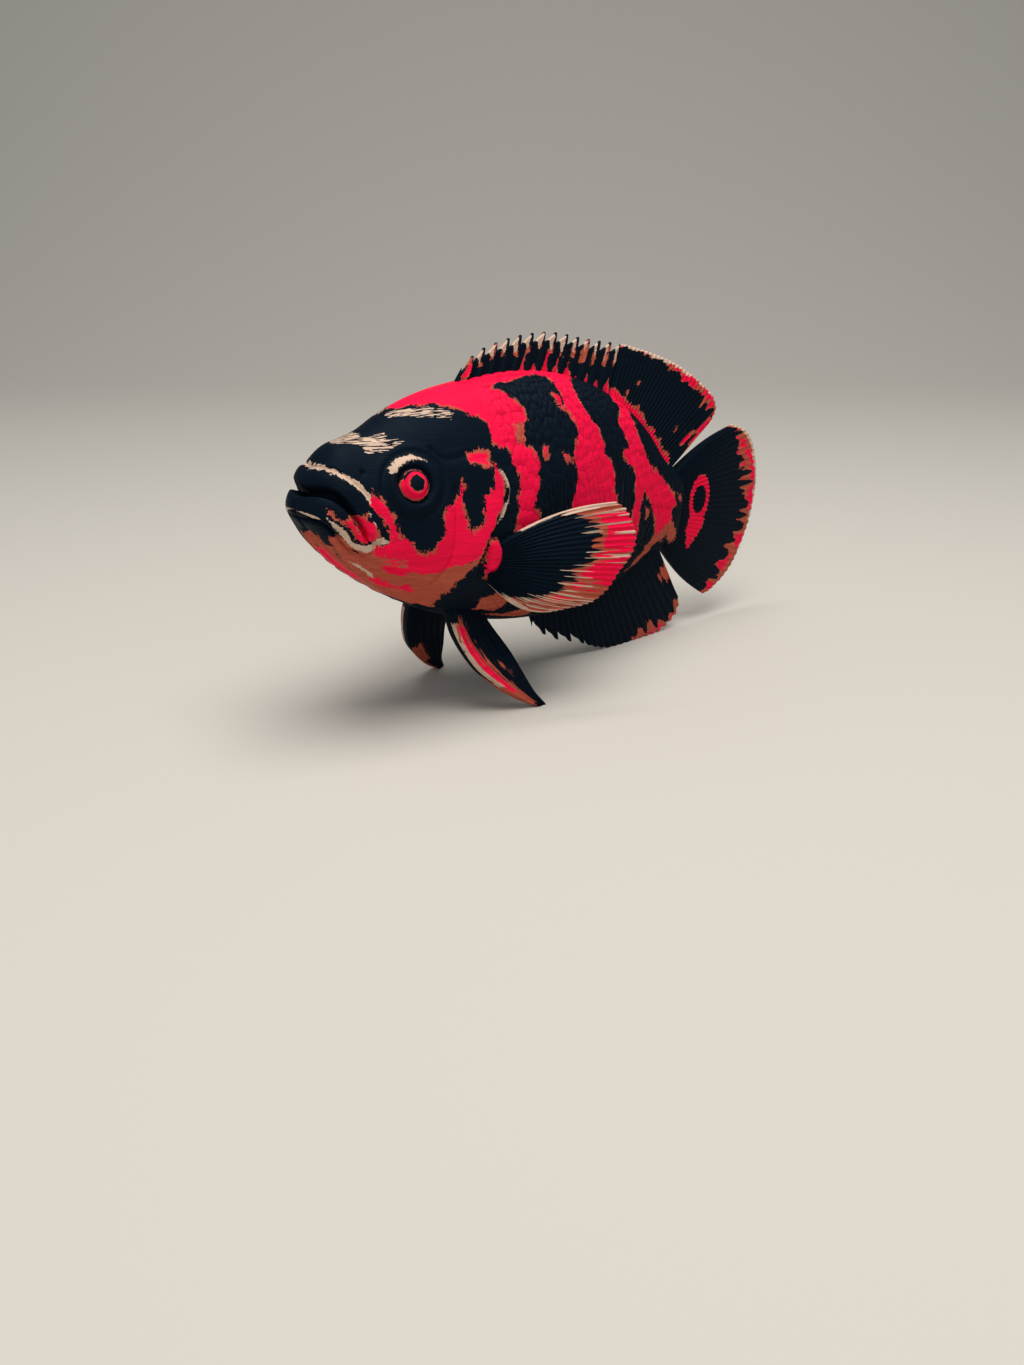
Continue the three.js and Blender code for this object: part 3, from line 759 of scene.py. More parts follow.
@dataclass
class Markings:
    """The patches of colour on the flesh, as outlines of (x, girth).

    The warp fields say how far the right side's patches stray from the left's,
    in millimetres along the fish and in girth round it. Streaked patches reach
    streak_margin inside and fade streak_fade times as fast outside, and bare
    ones leave red no deeper than bare_limit. The scales fields are where the
    scales fade in and out.
    """

    red: Sequence[Patch] = (
        # The cape over the nape, and the first bar behind the gill cover.
        ((24.5, -0.05), (25.5, 0.04), (28, 0.055), (30, 0.09), (33, 0.105), (37, 0.145), (41, 0.19),
         (44.2, 0.225), (45.1, 0.26), (44.5, 0.29), (47.5, 0.305), (49.6, 0.32), (49.8, 0.345), (52, 0.375),
         (52.3, 0.405), (51.6, 0.45), (51.3, 0.56), (57, 0.55), (59, 0.475), (56.6, 0.455), (58.3, 0.41),
         (58, 0.385), (58.5, 0.36), (55.8, 0.325), (54.1, 0.305), (54.9, 0.255), (56.3, 0.24), (56.1, 0.21),
         (53.9, 0.175), (52.8, 0.145), (49.5, 0.114), (52, 0.09), (57, 0.096), (62, 0.072), (66, 0.06),
         (68, -0.05)),
        # The back under the dorsal fin, and the second bar.
        ((60, -0.05), (60, 0.07), (66.5, 0.064), (69.3, 0.084), (70.5, 0.12), (71.1, 0.17), (71.2, 0.205),
         (73.7, 0.25), (74.6, 0.29), (73, 0.33), (72, 0.345), (73.2, 0.39), (72.8, 0.43), (71, 0.48),
         (71, 0.57), (86, 0.61), (90, 0.56), (93.2, 0.467), (90.8, 0.43), (91, 0.4), (89.8, 0.385),
         (89, 0.356), (86, 0.34), (85.4, 0.3), (82.7, 0.262), (80, 0.236), (78.2, 0.2), (76.8, 0.155),
         (77.6, 0.086), (80, 0.03), (81, -0.05)),
        ((68.2, 0.162), (69.7, 0.17), (70.7, 0.222), (69, 0.215)),
        # The third bar: a strip down from the dorsal fin that forks on the tail stalk.
        ((97, -0.03), (95, 0.1), (96.6, 0.13), (96.4, 0.185), (94.5, 0.214), (95.7, 0.246), (98.3, 0.272),
         (98.7, 0.304), (95.5, 0.306), (95.3, 0.328), (98, 0.344), (100.5, 0.354), (102, 0.385),
         (101.8, 0.415), (103.5, 0.45), (102.1, 0.49), (102.6, 0.54), (106.6, 0.6), (106, 0.51),
         (107.4, 0.43), (109.5, 0.44), (112, 0.46), (115.3, 0.53), (117, 0.62), (118.5, 0.66), (121.5, 0.62),
         (125.5, 0.57), (124, 0.5), (126.4, 0.45), (124.8, 0.39), (120.4, 0.345), (116.8, 0.322),
         (112.4, 0.32), (109.5, 0.305), (106.9, 0.27), (104.2, 0.222), (103.3, 0.17), (102.4, 0.136),
         (102.5, 0.08), (101, -0.03)),
        # The cheek: a band from the mouth's corner, round a dark lobe, up the gill cover's edge.
        ((12.6, 0.365), (14.5, 0.385), (16, 0.41), (17.4, 0.44), (18.4, 0.476), (20.4, 0.532), (22.4, 0.55),
         (24.7, 0.594), (28.7, 0.578), (29.3, 0.54), (31, 0.51), (30.6, 0.46), (31, 0.438), (32.8, 0.43),
         (33.9, 0.408), (34.8, 0.376), (35.1, 0.39), (34.3, 0.442), (35.7, 0.464), (36.7, 0.498),
         (38.5, 0.508), (41, 0.485), (40.6, 0.42), (43.3, 0.4), (43, 0.372), (44, 0.352), (45, 0.37),
         (45.4, 0.42), (44, 0.47), (42, 0.52), (40, 0.58), (38, 0.595), (34, 0.628), (32, 0.65),
         (29.5, 0.678), (25.4, 0.692), (23, 0.72), (20, 0.756), (16.8, 0.69), (15.1, 0.66), (15, 0.61),
         (16.8, 0.585), (18.6, 0.552), (17.9, 0.52), (16, 0.456), (14.2, 0.44), (13.1, 0.41)),
        # The corner of the mouth, and streaks on the throat.
        ((7.6, 0.502), (9, 0.49), (10.1, 0.522), (11.5, 0.558), (12.3, 0.562), (12.3, 0.534), (11.2, 0.506),
         (10.9, 0.478), (12.3, 0.474), (12.9, 0.5), (13.8, 0.492), (14.7, 0.506), (15.2, 0.544),
         (14.4, 0.585), (12.8, 0.602), (10.8, 0.594), (9, 0.548)),
        ((18.2, 0.9), (21.8, 0.883), (24.6, 0.85), (28.2, 0.8), (26.7, 0.765), (24.2, 0.805), (19, 0.837)),
        ((8, 0.955), (19.5, 0.955), (21, 1.05), (8, 1.05)),
        # Spots on the gill cover and the flank.
        ((37.4, 0.312), (40.2, 0.304), (42.4, 0.316), (42.2, 0.346), (39.8, 0.335), (37.6, 0.324)),
        ((61, 0.325), (61.8, 0.326), (61.5, 0.341), (60.8, 0.341)),
        ((56.3, 0.325), (57.8, 0.338), (57.8, 0.345), (56.6, 0.337)),
        ((68.2, 0.341), (70, 0.35), (70.6, 0.361), (69.3, 0.359)),
    )
    salmon: Sequence[Patch] = (
        # The throat and the gill cover's lower edge.
        ((3.6, 1.02), (4.7, 0.95), (4.9, 0.87), (6.5, 0.9), (7.5, 0.845), (11.4, 0.9), (8.7, 0.83),
         (6.4, 0.785), (5.8, 0.75), (6.6, 0.66), (7.6, 0.625), (10.3, 0.66), (15, 0.64), (23, 0.63),
         (30, 0.64), (35, 0.61), (40.2, 0.585), (39, 0.63), (36.6, 0.68), (36.2, 0.73), (34.6, 0.75),
         (35.2, 0.81), (36.6, 0.875), (33, 0.91), (29, 0.96), (27, 1.02)),
        # The rims of the red spots, and patches on the bars, the mouth, the belly and the tail stalk.
        ((36.9, 0.308), (39.8, 0.302), (40.6, 0.297), (42.7, 0.311), (42.6, 0.348), (40, 0.339),
         (37.2, 0.327)),
        ((51.5, 0.235), (55.2, 0.24), (55, 0.275), (53.5, 0.31), (50.5, 0.28)),
        ((4.4, 0.447), (5.2, 0.484), (7, 0.504), (8.2, 0.509), (6.8, 0.511), (5, 0.488)),
        ((46.3, 0.744), (49.9, 0.736), (51.2, 0.702), (56.1, 0.744), (56.6, 0.776), (54.4, 0.818),
         (47.5, 0.82)),
        ((51.2, 0.852), (58, 0.85), (64.8, 0.808), (71.5, 0.825), (70, 0.852), (66, 0.88), (58, 0.87)),
        ((117, 0.61), (124, 0.55), (126.5, 0.6), (129, 0.7), (131.5, 0.85), (131.5, 1.0), (128, 0.95),
         (126.5, 0.8), (124, 0.71), (122.5, 0.765), (120, 0.74), (117, 0.8), (112, 0.81), (107, 0.81),
         (112, 0.74), (116, 0.68)),
        ((127, 0.36), (128.8, 0.375), (129.6, 0.41), (128.4, 0.425)),
        ((60.5, 0.321), (62.2, 0.323), (62, 0.344), (60.4, 0.345)),
        ((55.6, 0.32), (58.5, 0.336), (58.4, 0.349), (56.3, 0.34)),
        ((67.4, 0.336), (70.2, 0.345), (71.2, 0.366), (68.9, 0.364)),
        ((109.6, 0.49), (112, 0.5), (111.8, 0.525), (110.2, 0.53)),
    )
    bare: Sequence[Patch] = (
        # Salmon that shows through the red of the cheek and the first bar.
        ((16.3, 0.68), (18.1, 0.652), (20.7, 0.642), (22.7, 0.638), (23.1, 0.67), (20.9, 0.705),
         (18.2, 0.715)),
        ((51.5, 0.255), (54.6, 0.25), (54.6, 0.29), (52.4, 0.3)),
    )
    beige: Sequence[Patch] = (
        # Over the upper lip, under the lower lip, and lines in the folds of the mouth's corner.
        ((3.6, -0.05), (4.5, -0.05), (5.5, 0.15), (7.1, 0.244), (9.5, 0.294), (11.4, 0.32), (12.5, 0.348),
         (13.4, 0.37), (13.1, 0.41), (11.5, 0.374), (9.6, 0.336), (7.5, 0.288), (5.5, 0.21), (4.4, 0.108)),
        ((3.9, 0.506), (6.3, 0.53), (8.2, 0.572), (9.6, 0.616), (11, 0.634), (12.6, 0.624), (14, 0.596),
         (15.1, 0.552), (16.2, 0.546), (17.8, 0.562), (16.5, 0.585), (15.3, 0.598), (14.8, 0.648),
         (13.1, 0.662), (11.3, 0.66), (9.7, 0.664), (8, 0.638), (6.6, 0.604), (5.1, 0.578)),
        ((8.1, 0.445), (9.8, 0.475), (11.3, 0.52), (9.6, 0.49)),
        ((12.1, 0.43), (12.8, 0.44), (14.1, 0.495), (13.3, 0.478)),
        ((0.15, 0.5), (1.2, 0.5), (3, 0.53), (1.8, 0.58), (0.15, 0.55)),
        # The crescent over the eye.
        ((18, 0.3), (18.9, 0.265), (20.4, 0.253), (22.6, 0.255), (24.6, 0.27), (26.8, 0.299), (24.8, 0.286),
         (23.1, 0.277), (21.3, 0.282), (19.9, 0.297), (18.7, 0.304)),
        # A patch on the throat.
        ((12, 0.838), (13.4, 0.803), (17, 0.808), (19.3, 0.848), (15.6, 0.85)),
        # The edge of the flap behind the gill cover.
        ((45.2, 0.357), (47.4, 0.38), (48.5, 0.407), (48.3, 0.437), (46.5, 0.467), (44.4, 0.497),
         (44.1, 0.489), (45.9, 0.458), (47.5, 0.43), (47.6, 0.41), (46.8, 0.391), (45, 0.366)),
    )
    streaked: Sequence[Patch] = (
        # Level streaks over the snout and in front of the cape.
        ((8.8, -0.04), (12.2, -0.064), (15.7, 0.018), (15.2, 0.084), (20, 0.13), (19.8, 0.156),
         (22.8, 0.205), (20.2, 0.206), (17.5, 0.2), (15, 0.19), (14.7, 0.152), (13.4, 0.112), (11.8, 0.072),
         (9.8, 0.044)),
        ((23.2, 0.02), (24.2, 0.026), (25.7, 0.064), (27.6, 0.08), (29.4, 0.096), (31.6, 0.118), (34, 0.144),
         (36.8, 0.178), (35.4, 0.19), (33.4, 0.174), (31.4, 0.16), (27.9, 0.134), (25.8, 0.102),
         (22.9, 0.078)),
    )
    navy: Sequence[Patch] = (
        # Dark spots under the jaw and behind the mouth's corner.
        ((10.1, 0.694), (11.1, 0.683), (13.4, 0.695), (12.2, 0.73), (10.9, 0.724)),
        ((13.2, 0.436), (15.4, 0.464), (16.9, 0.504), (18.2, 0.558), (16.2, 0.55), (14.8, 0.508)),
    )
    fin_root: Patch = (
        # The fleshy root of the pectoral fin, which stands up.
        (42, 0.53), (43.4, 0.522), (45.2, 0.53), (46.8, 0.55), (47.9, 0.585), (48.8, 0.622), (48.8, 0.648),
        (47, 0.658), (44.6, 0.642), (43.2, 0.612), (43, 0.58))
    warp_along: float = 2.6
    warp_round: float = 0.03
    warp_shift: float = 37.0
    streak_margin: float = 0.3
    streak_fade: float = 6.0
    bare_limit: float = 0.2
    scales_along: tuple[Pair, Pair] = ((43, 50), (130, 124))
    scales_round: tuple[Pair, Pair] = ((0.01, 0.06), (0.96, 0.84))

    def warped(self, x: Array, girth: Array) -> tuple[Array, Array]:
        """Where each place of the skin looks up its colours.

        Args:
            x: Places along the fish.
            girth: Places round it.

        Returns:
            Places along and round, strayed a little on the right side.
        """
        round_ = np.abs(girth)
        share = np.where(girth < 0, np.sin(np.pi * np.clip(round_, 0, 1)), 0.0) * smooth(4, 30, x)
        stray_x = share * self.warp_along * drift(x / 14, round_ * 4 + self.warp_shift, 5)
        stray_round = share * self.warp_round * drift(x / 11 + self.warp_shift, round_ * 5, 6)
        return x + stray_x, round_ + stray_round

    def fields(self, form: BodyForm, x: Array, girth: Array) -> Colours:
        """Read every patch at places on the skin.

        Args:
            form: The body.
            x: Places along the fish.
            girth: Places round it.

        Returns:
            The fields.
        """
        places = form.chart(*self.warped(x, girth))

        def union(patches: Sequence[Patch]) -> Array:
            """The largest of several patches' distances."""
            distances = [inside(places, form.flat(*np.array(patch).T)) for patch in patches]
            return np.maximum(np.max(distances, axis=0), FAR_OUTSIDE)

        streaked, beige = union(self.streaked), union(self.beige)
        streaked = np.where(
            streaked > 0, np.minimum(streaked, self.streak_margin), self.streak_fade * streaked)
        bare = np.maximum(-union(self.bare), -self.bare_limit)
        red = np.minimum(union((*self.red, self.fin_root)), bare)
        scaly = band(x, *self.scales_along) * band(np.abs(girth), *self.scales_round)
        return Colours(union(self.salmon), red, np.maximum(beige, streaked), union(self.navy),
                       (streaked > beige).astype(float), scaly)


@dataclass(frozen=True)
class Roll:
    """A lip: a round roll along side-view places, with a groove beside it.

    Front is where it crosses the fish's midline, and groove gives the
    groove's distance from the roll's middle, its depth and its width.
    """

    front: Pair
    places: Sequence[Pair]
    height: float
    half_width: float
    groove: Triple


@dataclass(frozen=True)
class Groove:
    """A groove along side-view places on the left skin."""

    places: Sequence[Pair]
    depth: float
    width: float


@dataclass(frozen=True)
class Ring:
    """A ring round the eye, raised, or sunk where its height is below zero."""

    radius: float
    height: float
    width: float


@dataclass(frozen=True)
class ScoredLine:
    """A shallow line along the flank, as girth over x, faded in and out along x."""

    course: Profile
    start: Pair
    stop: Pair
    depth: float = 0.2
    width: float = 0.4


@dataclass(frozen=True)
class GillCover:
    """The gill cover's raised plate, the slit behind it and the flap behind that.

    Edge gives the plate's rear edge as x over z. Foot and top are the heights
    at which the cover fades in and out. Slit and flap give the distance behind
    the edge, the height and the width of each.
    """

    edge: Profile = Profile((-19, 38.4), (-15, 40.6), (-9, 41.1), (-5, 41.8), (-1, 43.6), (4, 45.5),
                            (8, 46.3), (13, 43.2))
    foot: Pair = (-21, -17)
    top: Pair = (14.5, 11.5)
    rise: float = 1.25
    run: float = 9.0
    slit: Triple = (0.55, -0.6, 0.4)
    flap: Triple = (1.4, 0.75, 0.5)
    flap_foot: Pair = (-4, 0)

    def relief(self, at: Array) -> Array:
        """Heights over the gill cover.

        Args:
            at: Points of the plain left skin, one a row.

        Returns:
            The heights.
        """
        x, z = at[:, 0], at[:, 2]
        past = x - self.edge(z)
        plate = self.rise * smooth(-self.run, 0, past) * (past < 0.1)
        slit, flap = (height * bell(past - behind, width)
                      for behind, height, width in (self.slit, self.flap))
        return band(z, self.foot, self.top) * (plate + slit + smooth(*self.flap_foot, z) * flap)


@dataclass
class FleshSkin:
    """The one skin over head, jaw, lips, gill covers, torso and tail stalk.

    Its lines are side-view places (x, z) on the left skin. The stops fields
    are the numbers of grid lines round the fish and along its nose, head and
    trunk, and right_chart sets the right side's chart apart from the left's.
    """

    form: BodyForm
    markings: Markings
    stops_round: int = 262
    stops_nose: int = 60
    stops_head: int = 160
    stops_trunk: int = 146
    head_end: float = 50.0
    relief_end: float = 54.0
    upper_lip: Roll = Roll((2.2, 7.3), ((2.9, 7.5), (5.2, 7.5), (8.2, 5.7), (11.2, 2.7), (13.3, -0.7),
                                        (14.2, -2.8)), 0.85, 2.3, (2.5, 0.35, 0.35))
    lower_lip: Roll = Roll((0.1, 1.7), ((0.5, 1.7), (1.6, 1.7), (4.1, 0.9), (7.1, -1.3), (10.1, -4.3),
                                        (12.2, -6.2)), 0.75, 2.7, (3.0, 0.55, 0.4))
    mouth_front: Pair = (0.85, 4.9)
    mouth: Sequence[Pair] = ((1, 4.9), (2.9, 5), (4.7, 4.8), (7.3, 3.1), (10.1, -0.2), (12, -2.8),
                             (12.9, -4.4))
    mouth_half: Profile = Profile((0, 1.0), (0.3, 0.95), (0.6, 0.55), (1, 0.3))
    mouth_depth: float = 3.0
    mouth_edge: Pair = (0.35, -0.2)
    lip_fold: Groove = Groove(((4.2, 1.6), (5.2, 0.3), (7, -0.6), (8.8, -2.2), (10.6, -4.2)), 0.35, 0.3)
    cheek_edge: Groove = Groove(
        ((33.3, 8), (33.4, 1.4), (33.8, -5.5), (33.6, -8.7), (32.4, -12), (30.8, -15)), 0.55, 0.4)
    brow_crease: Groove = Groove(((28.4, 15.8), (29.8, 14.5), (32, 13.8), (35, 14.3), (38, 15.6)), 0.6, 0.45)
    jaw_groove: Groove = Groove(((1.3, -0.9), (4.2, -2.3), (7.2, -5), (10.7, -7.6), (13.7, -8.4)), 0.7, 0.4)
    throat_groove: Groove = Groove(
        ((4, -4.3), (6.1, -6.3), (8.4, -8.3), (12, -10.8), (16.4, -13.7)), 0.7, 0.45)
    chin_slit: Groove = Groove(((10.3, -7), (11.4, -7.3), (13, -8.3)), 0.9, 0.4)
    eye_rings: Sequence[Ring] = (Ring(5.2, 1.15, 1.15), Ring(7.5, -0.32, 0.55), Ring(8.6, 0.12, 0.8))
    socket_depth: float = 2.8
    socket_wall: Pair = (4.0, 3.3)
    nostril: Pair = (12.5, 9.8)
    nostril_depth: float = 0.8
    nostril_width: float = 0.55
    cleft_depth: float = 0.6
    cleft_width: float = 0.45
    cleft_level: Pair = (1.5, 0)
    cleft_ends: tuple[Pair, Pair] = ((0.2, 1.5), (26, 14))
    lip_cleft: Pair = (3, 2)
    gill_cover: GillCover = GillCover()
    root_height: float = 1.9
    fold_height: float = 0.32
    folds_along: tuple[Pair, Pair] = ((10, 18), (41, 34))
    folds_round: tuple[Pair, Pair] = ((0.64, 0.72), (0.99, 0.92))
    flank_lines: Sequence[ScoredLine] = (
        ScoredLine(Profile((46, 0.29), (62, 0.325), (90, 0.335)), (46, 50), (92, 88)),
        ScoredLine(Profile((84, 0.5), (104, 0.48), (128, 0.5)), (84, 87), (141, 136)))
    right_chart: float = 200.0

    def stations(self) -> Array:
        """Stops along the fish, close together over the head.

        Returns:
            The stops.
        """
        start, end = self.form.nose_round, self.form.end
        nose = start * (1 - np.cos(np.linspace(0, np.pi / 2, self.stops_nose)))
        head = np.linspace(start, self.head_end, self.stops_head)[1:]
        trunk = np.linspace(self.head_end, end, self.stops_trunk)[1:]
        # One more stop closes the tail end.
        return np.concatenate([nose, head, trunk, [end + 0.01]])

    def line(self, places: Sequence[Pair], front: Pair | None = None) -> Array:
        """A line drawn on the left skin.

        Args:
            places: Its side-view places.
            front: Where it crosses the fish's midline first, if it does.

        Returns:
            Even points along it.
        """
        drawn = self.form.on_skin(places)
        if front is not None:
            drawn = np.vstack([[self.form.snubbed(front[0]), 0, front[1]], drawn])
        return route(drawn, 40)

    def mouth_relief(self, at: Array) -> Array:
        """Heights of the lips, the open mouth and the cleft under the chin.

        Args:
            at: Points of the plain left skin, one a row.

        Returns:
            The heights.
        """
        gain = np.zeros(len(at))
        for lip in (self.upper_lip, self.lower_lip):
            away = reach(at, self.line(lip.places, lip.front))
            beside, depth, width = lip.groove
            gain += lip.height * hump(away, lip.half_width) - depth * bell(away - beside, width)
        gap, share = nearest(at, self.line(self.mouth, self.mouth_front))
        half = self.mouth_half(share)
        outer, inner = self.mouth_edge
        gain -= self.mouth_depth * smooth(half + outer, half + inner, gap)
        x, y, z = at.T
        below = smooth(*self.cleft_level, z) * band(x, *self.cleft_ends)
        cleft = np.maximum(below, smooth(*self.lip_cleft, x))
        return gain - self.cleft_depth * bell(y, self.cleft_width) * cleft

    def eye_relief(self, at: Array) -> Array:
        """Heights of the rings round the eye and the depth of its socket.

        Args:
            at: Points of the plain left skin, one a row.

        Returns:
            The heights.
        """
        away = np.linalg.norm(at - self.form.point(self.form.eye_x, self.form.eye_girth), axis=1)
        rings = sum(ring.height * bell(away - ring.radius, ring.width) for ring in self.eye_rings)
        return rings - self.socket_depth * smooth(*self.socket_wall, away)

    def head_relief(self, at: Array) -> Array:
        """Heights of everything on the head.

        Args:
            at: Points of the plain left skin, one a row.

        Returns:
            The heights.
        """
        gain = self.mouth_relief(at) + self.eye_relief(at) + self.gill_cover.relief(at)
        for groove in (self.lip_fold, self.cheek_edge, self.brow_crease, self.jaw_groove, self.throat_groove,
                       self.chin_slit):
            gain -= groove.depth * bell(reach(at, self.line(groove.places)), groove.width)
        pit = np.linalg.norm(at - self.form.on_skin([self.nostril])[0], axis=1)
        return gain - self.nostril_depth * bell(pit, self.nostril_width)

    def relief(self, x: Array, girth: Array, skin: Array) -> Array:
        """How far the modelled skin stands off the plain one.

        Args:
            x: Places along the fish.
            girth: Places round it.
            skin: The plain skin's points there.

        Returns:
            Heights in millimetres.
        """
        round_ = np.abs(girth)
        head = x < self.relief_end
        height = np.zeros(len(x))
        height[head] = self.head_relief((skin * (1, 0, 1) - np.abs(skin) * (0, 1, 0))[head])
        flat = self.form.chart(x, girth)
        root = self.form.flat(*np.array(self.markings.fin_root).T)
        deep = np.clip(inside(flat[head], root) / self.root_height, 0, 1)
        height[head] += self.root_height * hump(1 - deep)
        down = flat[:, 1]
        folded = band(x, *self.folds_along) * band(round_, *self.folds_round)
        waves = np.sin(2.2 * down - 0.25 * x + 1.5 * drift(x / 5, down / 2, 3))
        height += self.fold_height * folded * waves
        for scored in self.flank_lines:
            off = (round_ - scored.course(x)) * self.form.half_girth(x)
            height -= scored.depth * bell(off, scored.width) * band(x, scored.start, scored.stop)
        return height

    def build(self, seat: Matrix) -> bpy.types.Object:
        """Make the skin.

        Args:
            seat: The step from millimetres to the frame.

        Returns:
            The piece.
        """
        form = self.form

        def bend(x: Array, girth: Array) -> tuple[Array, Array, Colours]:
            """Shape and mark the grid, drawn together at the midlines and at both ends.

            Args:
                x: Places along the fish.
                girth: Places round it.

            Returns:
                Points, chart places and colours.
            """
            skin = form.point(np.minimum(x, form.end), girth)
            raised = skin + form.normal(x, girth) * self.relief(x, girth, skin)[:, None]
            raised[x > form.end, 1] = 0
            raised[x < 1e-6] = (form.snub, 0, form.tip_z)
            raised[np.abs(girth) > 0.9999, 1] = 0
            chart = form.chart(x, girth)
            chart[:, 1] += np.where(girth < 0, self.right_chart, 0.0)
            return raised, chart, self.markings.fields(form, x, girth)

        girths = np.linspace(-1, 1, self.stops_round + 1)
        return bent_grid("flesh_skin", self.stations(), girths, bend, seat)


# The fins.


@dataclass(frozen=True)
class Saw:
    """Teeth along a fin's margin.

    Depth is in millimetres, stop is the share of the margin that has them,
    and rays_each is how many rays each takes.
    """

    depth: float = 0.0
    stop: float = 1.0
    rays_each: int = 1


@dataclass
class FinPlaces:
    """Places on a fin.

    Each has its shares u and v, its face, which is above zero outside, and its
    point on the sheet's middle.
    """

    u: Array
    v: Array
    face: Array
    point: Array


@dataclass
class Blade:
    """A fin as one closed, rayed sheet.

    Its rays fan from the base line to the margin line. Shares u and v run
    from the first ray to the last, and from root to margin. Ridge is how far
    the rays stand up, notch how far the margin is cut in between them, bow
    and cup how far the sheet bulges in its own plane and out of it, and
    across the direction in which it is thick. A paired fin is named by its
    side, and far_face_chart sets the far face's chart apart.
    """

    name: str
    base: Sequence[Triple]
    margin: Sequence[Triple]
    rays: int
    root_half: float
    edge_half: float
    ridge: float
    notch: float = 0.01
    saw: Saw = Saw()
    bow: float = 0.0
    cup: float = 0.0
    across: Triple = (0.0, 1.0, 0.0)
    paired: bool = False
    rows: int = 60
    stops_per_ray: int = 8
    far_face_chart: float = 90.0

    def lines(self) -> tuple[Array, Array]:
        """The base and margin as even lines."""
        return route(self.base), route(self.margin)

    def phase(self, u: Array) -> Array:
        """How far past its ray each place is, in shares of the ray spacing."""
        return np.mod(u * self.rays, 1.0)

    def off_ray(self, u: Array) -> Array:
        """How far from the nearest ray each place is, in shares of the ray spacing."""
        phase = self.phase(u)
        return np.minimum(phase, 1 - phase)

    def length(self) -> float:
        """About how long the fin's rays are."""
        base, margin = self.lines()
        return float(np.linalg.norm(margin - base, axis=1).mean())

    def span(self) -> float:
        """About how long the fin's margin is."""
        return float(np.linalg.norm(np.diff(self.lines()[1], axis=0), axis=1).sum())

    def middle(self, u: Array, v: Array) -> Array:
        """The sheet's middle surface, its margin notched or sawn between the rays.

        Args:
            u: Shares from the first ray to the last.
            v: Shares from root to margin.

        Returns:
            One point a row.
        """
        base, margin = self.lines()
        foot, rim = along(base, u), along(margin, u)
        tooth = np.mod(u * self.rays / self.saw.rays_each, 1.0)
        start = smooth(0.0, 0.16 / self.saw.rays_each, tooth)
        length = np.linalg.norm(rim - foot, axis=1)
        sawn = self.saw.depth / length * smooth(self.saw.stop + 0.05, self.saw.stop, u)
        cut = self.notch * (2 * self.off_ray(u)) ** 1.5 + sawn * (1 - tooth) ** 0.8 * start
        place = foot + (rim - foot) * (v * (1 - cut * v * v))[:, None]
        place[:, 2] += self.bow * (1 - 2 * u) * np.sin(np.pi * v)
        return place + np.array(self.across) * (self.cup * np.sin(np.pi * v) * np.sin(np.pi * u))[:, None]

    def half(self, u: Array, v: Array) -> Array:
        """Half the sheet's thickness, with its rays standing up.

        Args:
            u: Shares from the first ray to the last.
            v: Shares from root to margin.

        Returns:
            The half thicknesses.
        """
        plain = self.root_half + (self.edge_half - self.root_half) * v ** 0.7
        return (plain + self.ridge * bell(self.off_ray(u), 0.2) * (1 - 0.45 * v ** 3)) * self.closing(u, v)

    def closing(self, u: Array, v: Array) -> Array:
        """A share that takes the thickness to nothing at every edge.

        Args:
            u: Shares from the first ray to the last.
            v: Shares from root to margin.

        Returns:
            The shares.
        """
        side = np.clip(np.minimum(u, 1 - u) * self.rays / 0.35, 0, 1)
        tip = np.clip((v - 0.975) / 0.025, 0, 1)
        return hump(1 - side) * hump(tip) * np.clip(v / 0.01, 0, 1)

    def out(self, u: Array, v: Array) -> Array:
        """The direction in which the sheet is thick."""
        return np.broadcast_to(np.array(self.across, float), (len(u), 3))

    def colours(self, at: FinPlaces) -> Colours:
        """The fin's own patches; plain navy here."""
        return Colours.blank(len(at.u))

    def build(self, seat: Matrix, side: Side = Side.LEFT) -> bpy.types.Object:
        """Make the fin.

        Args:
            seat: The step from millimetres to the frame.
            side: Which side of the fish a paired fin is on.

        Returns:
            The piece.
        """
        def bend(turn: Array, v: Array) -> tuple[Array, Array, Colours]:
            """Shape and mark the grid, which runs out on one face and back on the other.

            Args:
                turn: Shares of the way out and back.
                v: Shares from root to margin.

            Returns:
                Points, chart places and colours.
            """
            u = 1 - np.abs(2 * turn - 1)
            face = np.where(turn < 0.5, 1.0, -1.0)
            middle = self.middle(u, v)
            points = middle + self.out(u, v) * (face * self.half(u, v))[:, None]
            chart_u = u * self.span() + (turn > 0.5) * self.far_face_chart
            colours = self.colours(FinPlaces(u, v, face, middle))
            return side.mirrored(points), np.stack([chart_u, v * self.length()], axis=1), colours

        turns = np.linspace(0, 1, 2 * self.rays * self.stops_per_ray + 1)
        name = f"{self.name}_{side.name.lower()}" if self.paired else self.name
        return bent_grid(name, turns, np.linspace(0, 1, self.rows + 1), bend, seat)


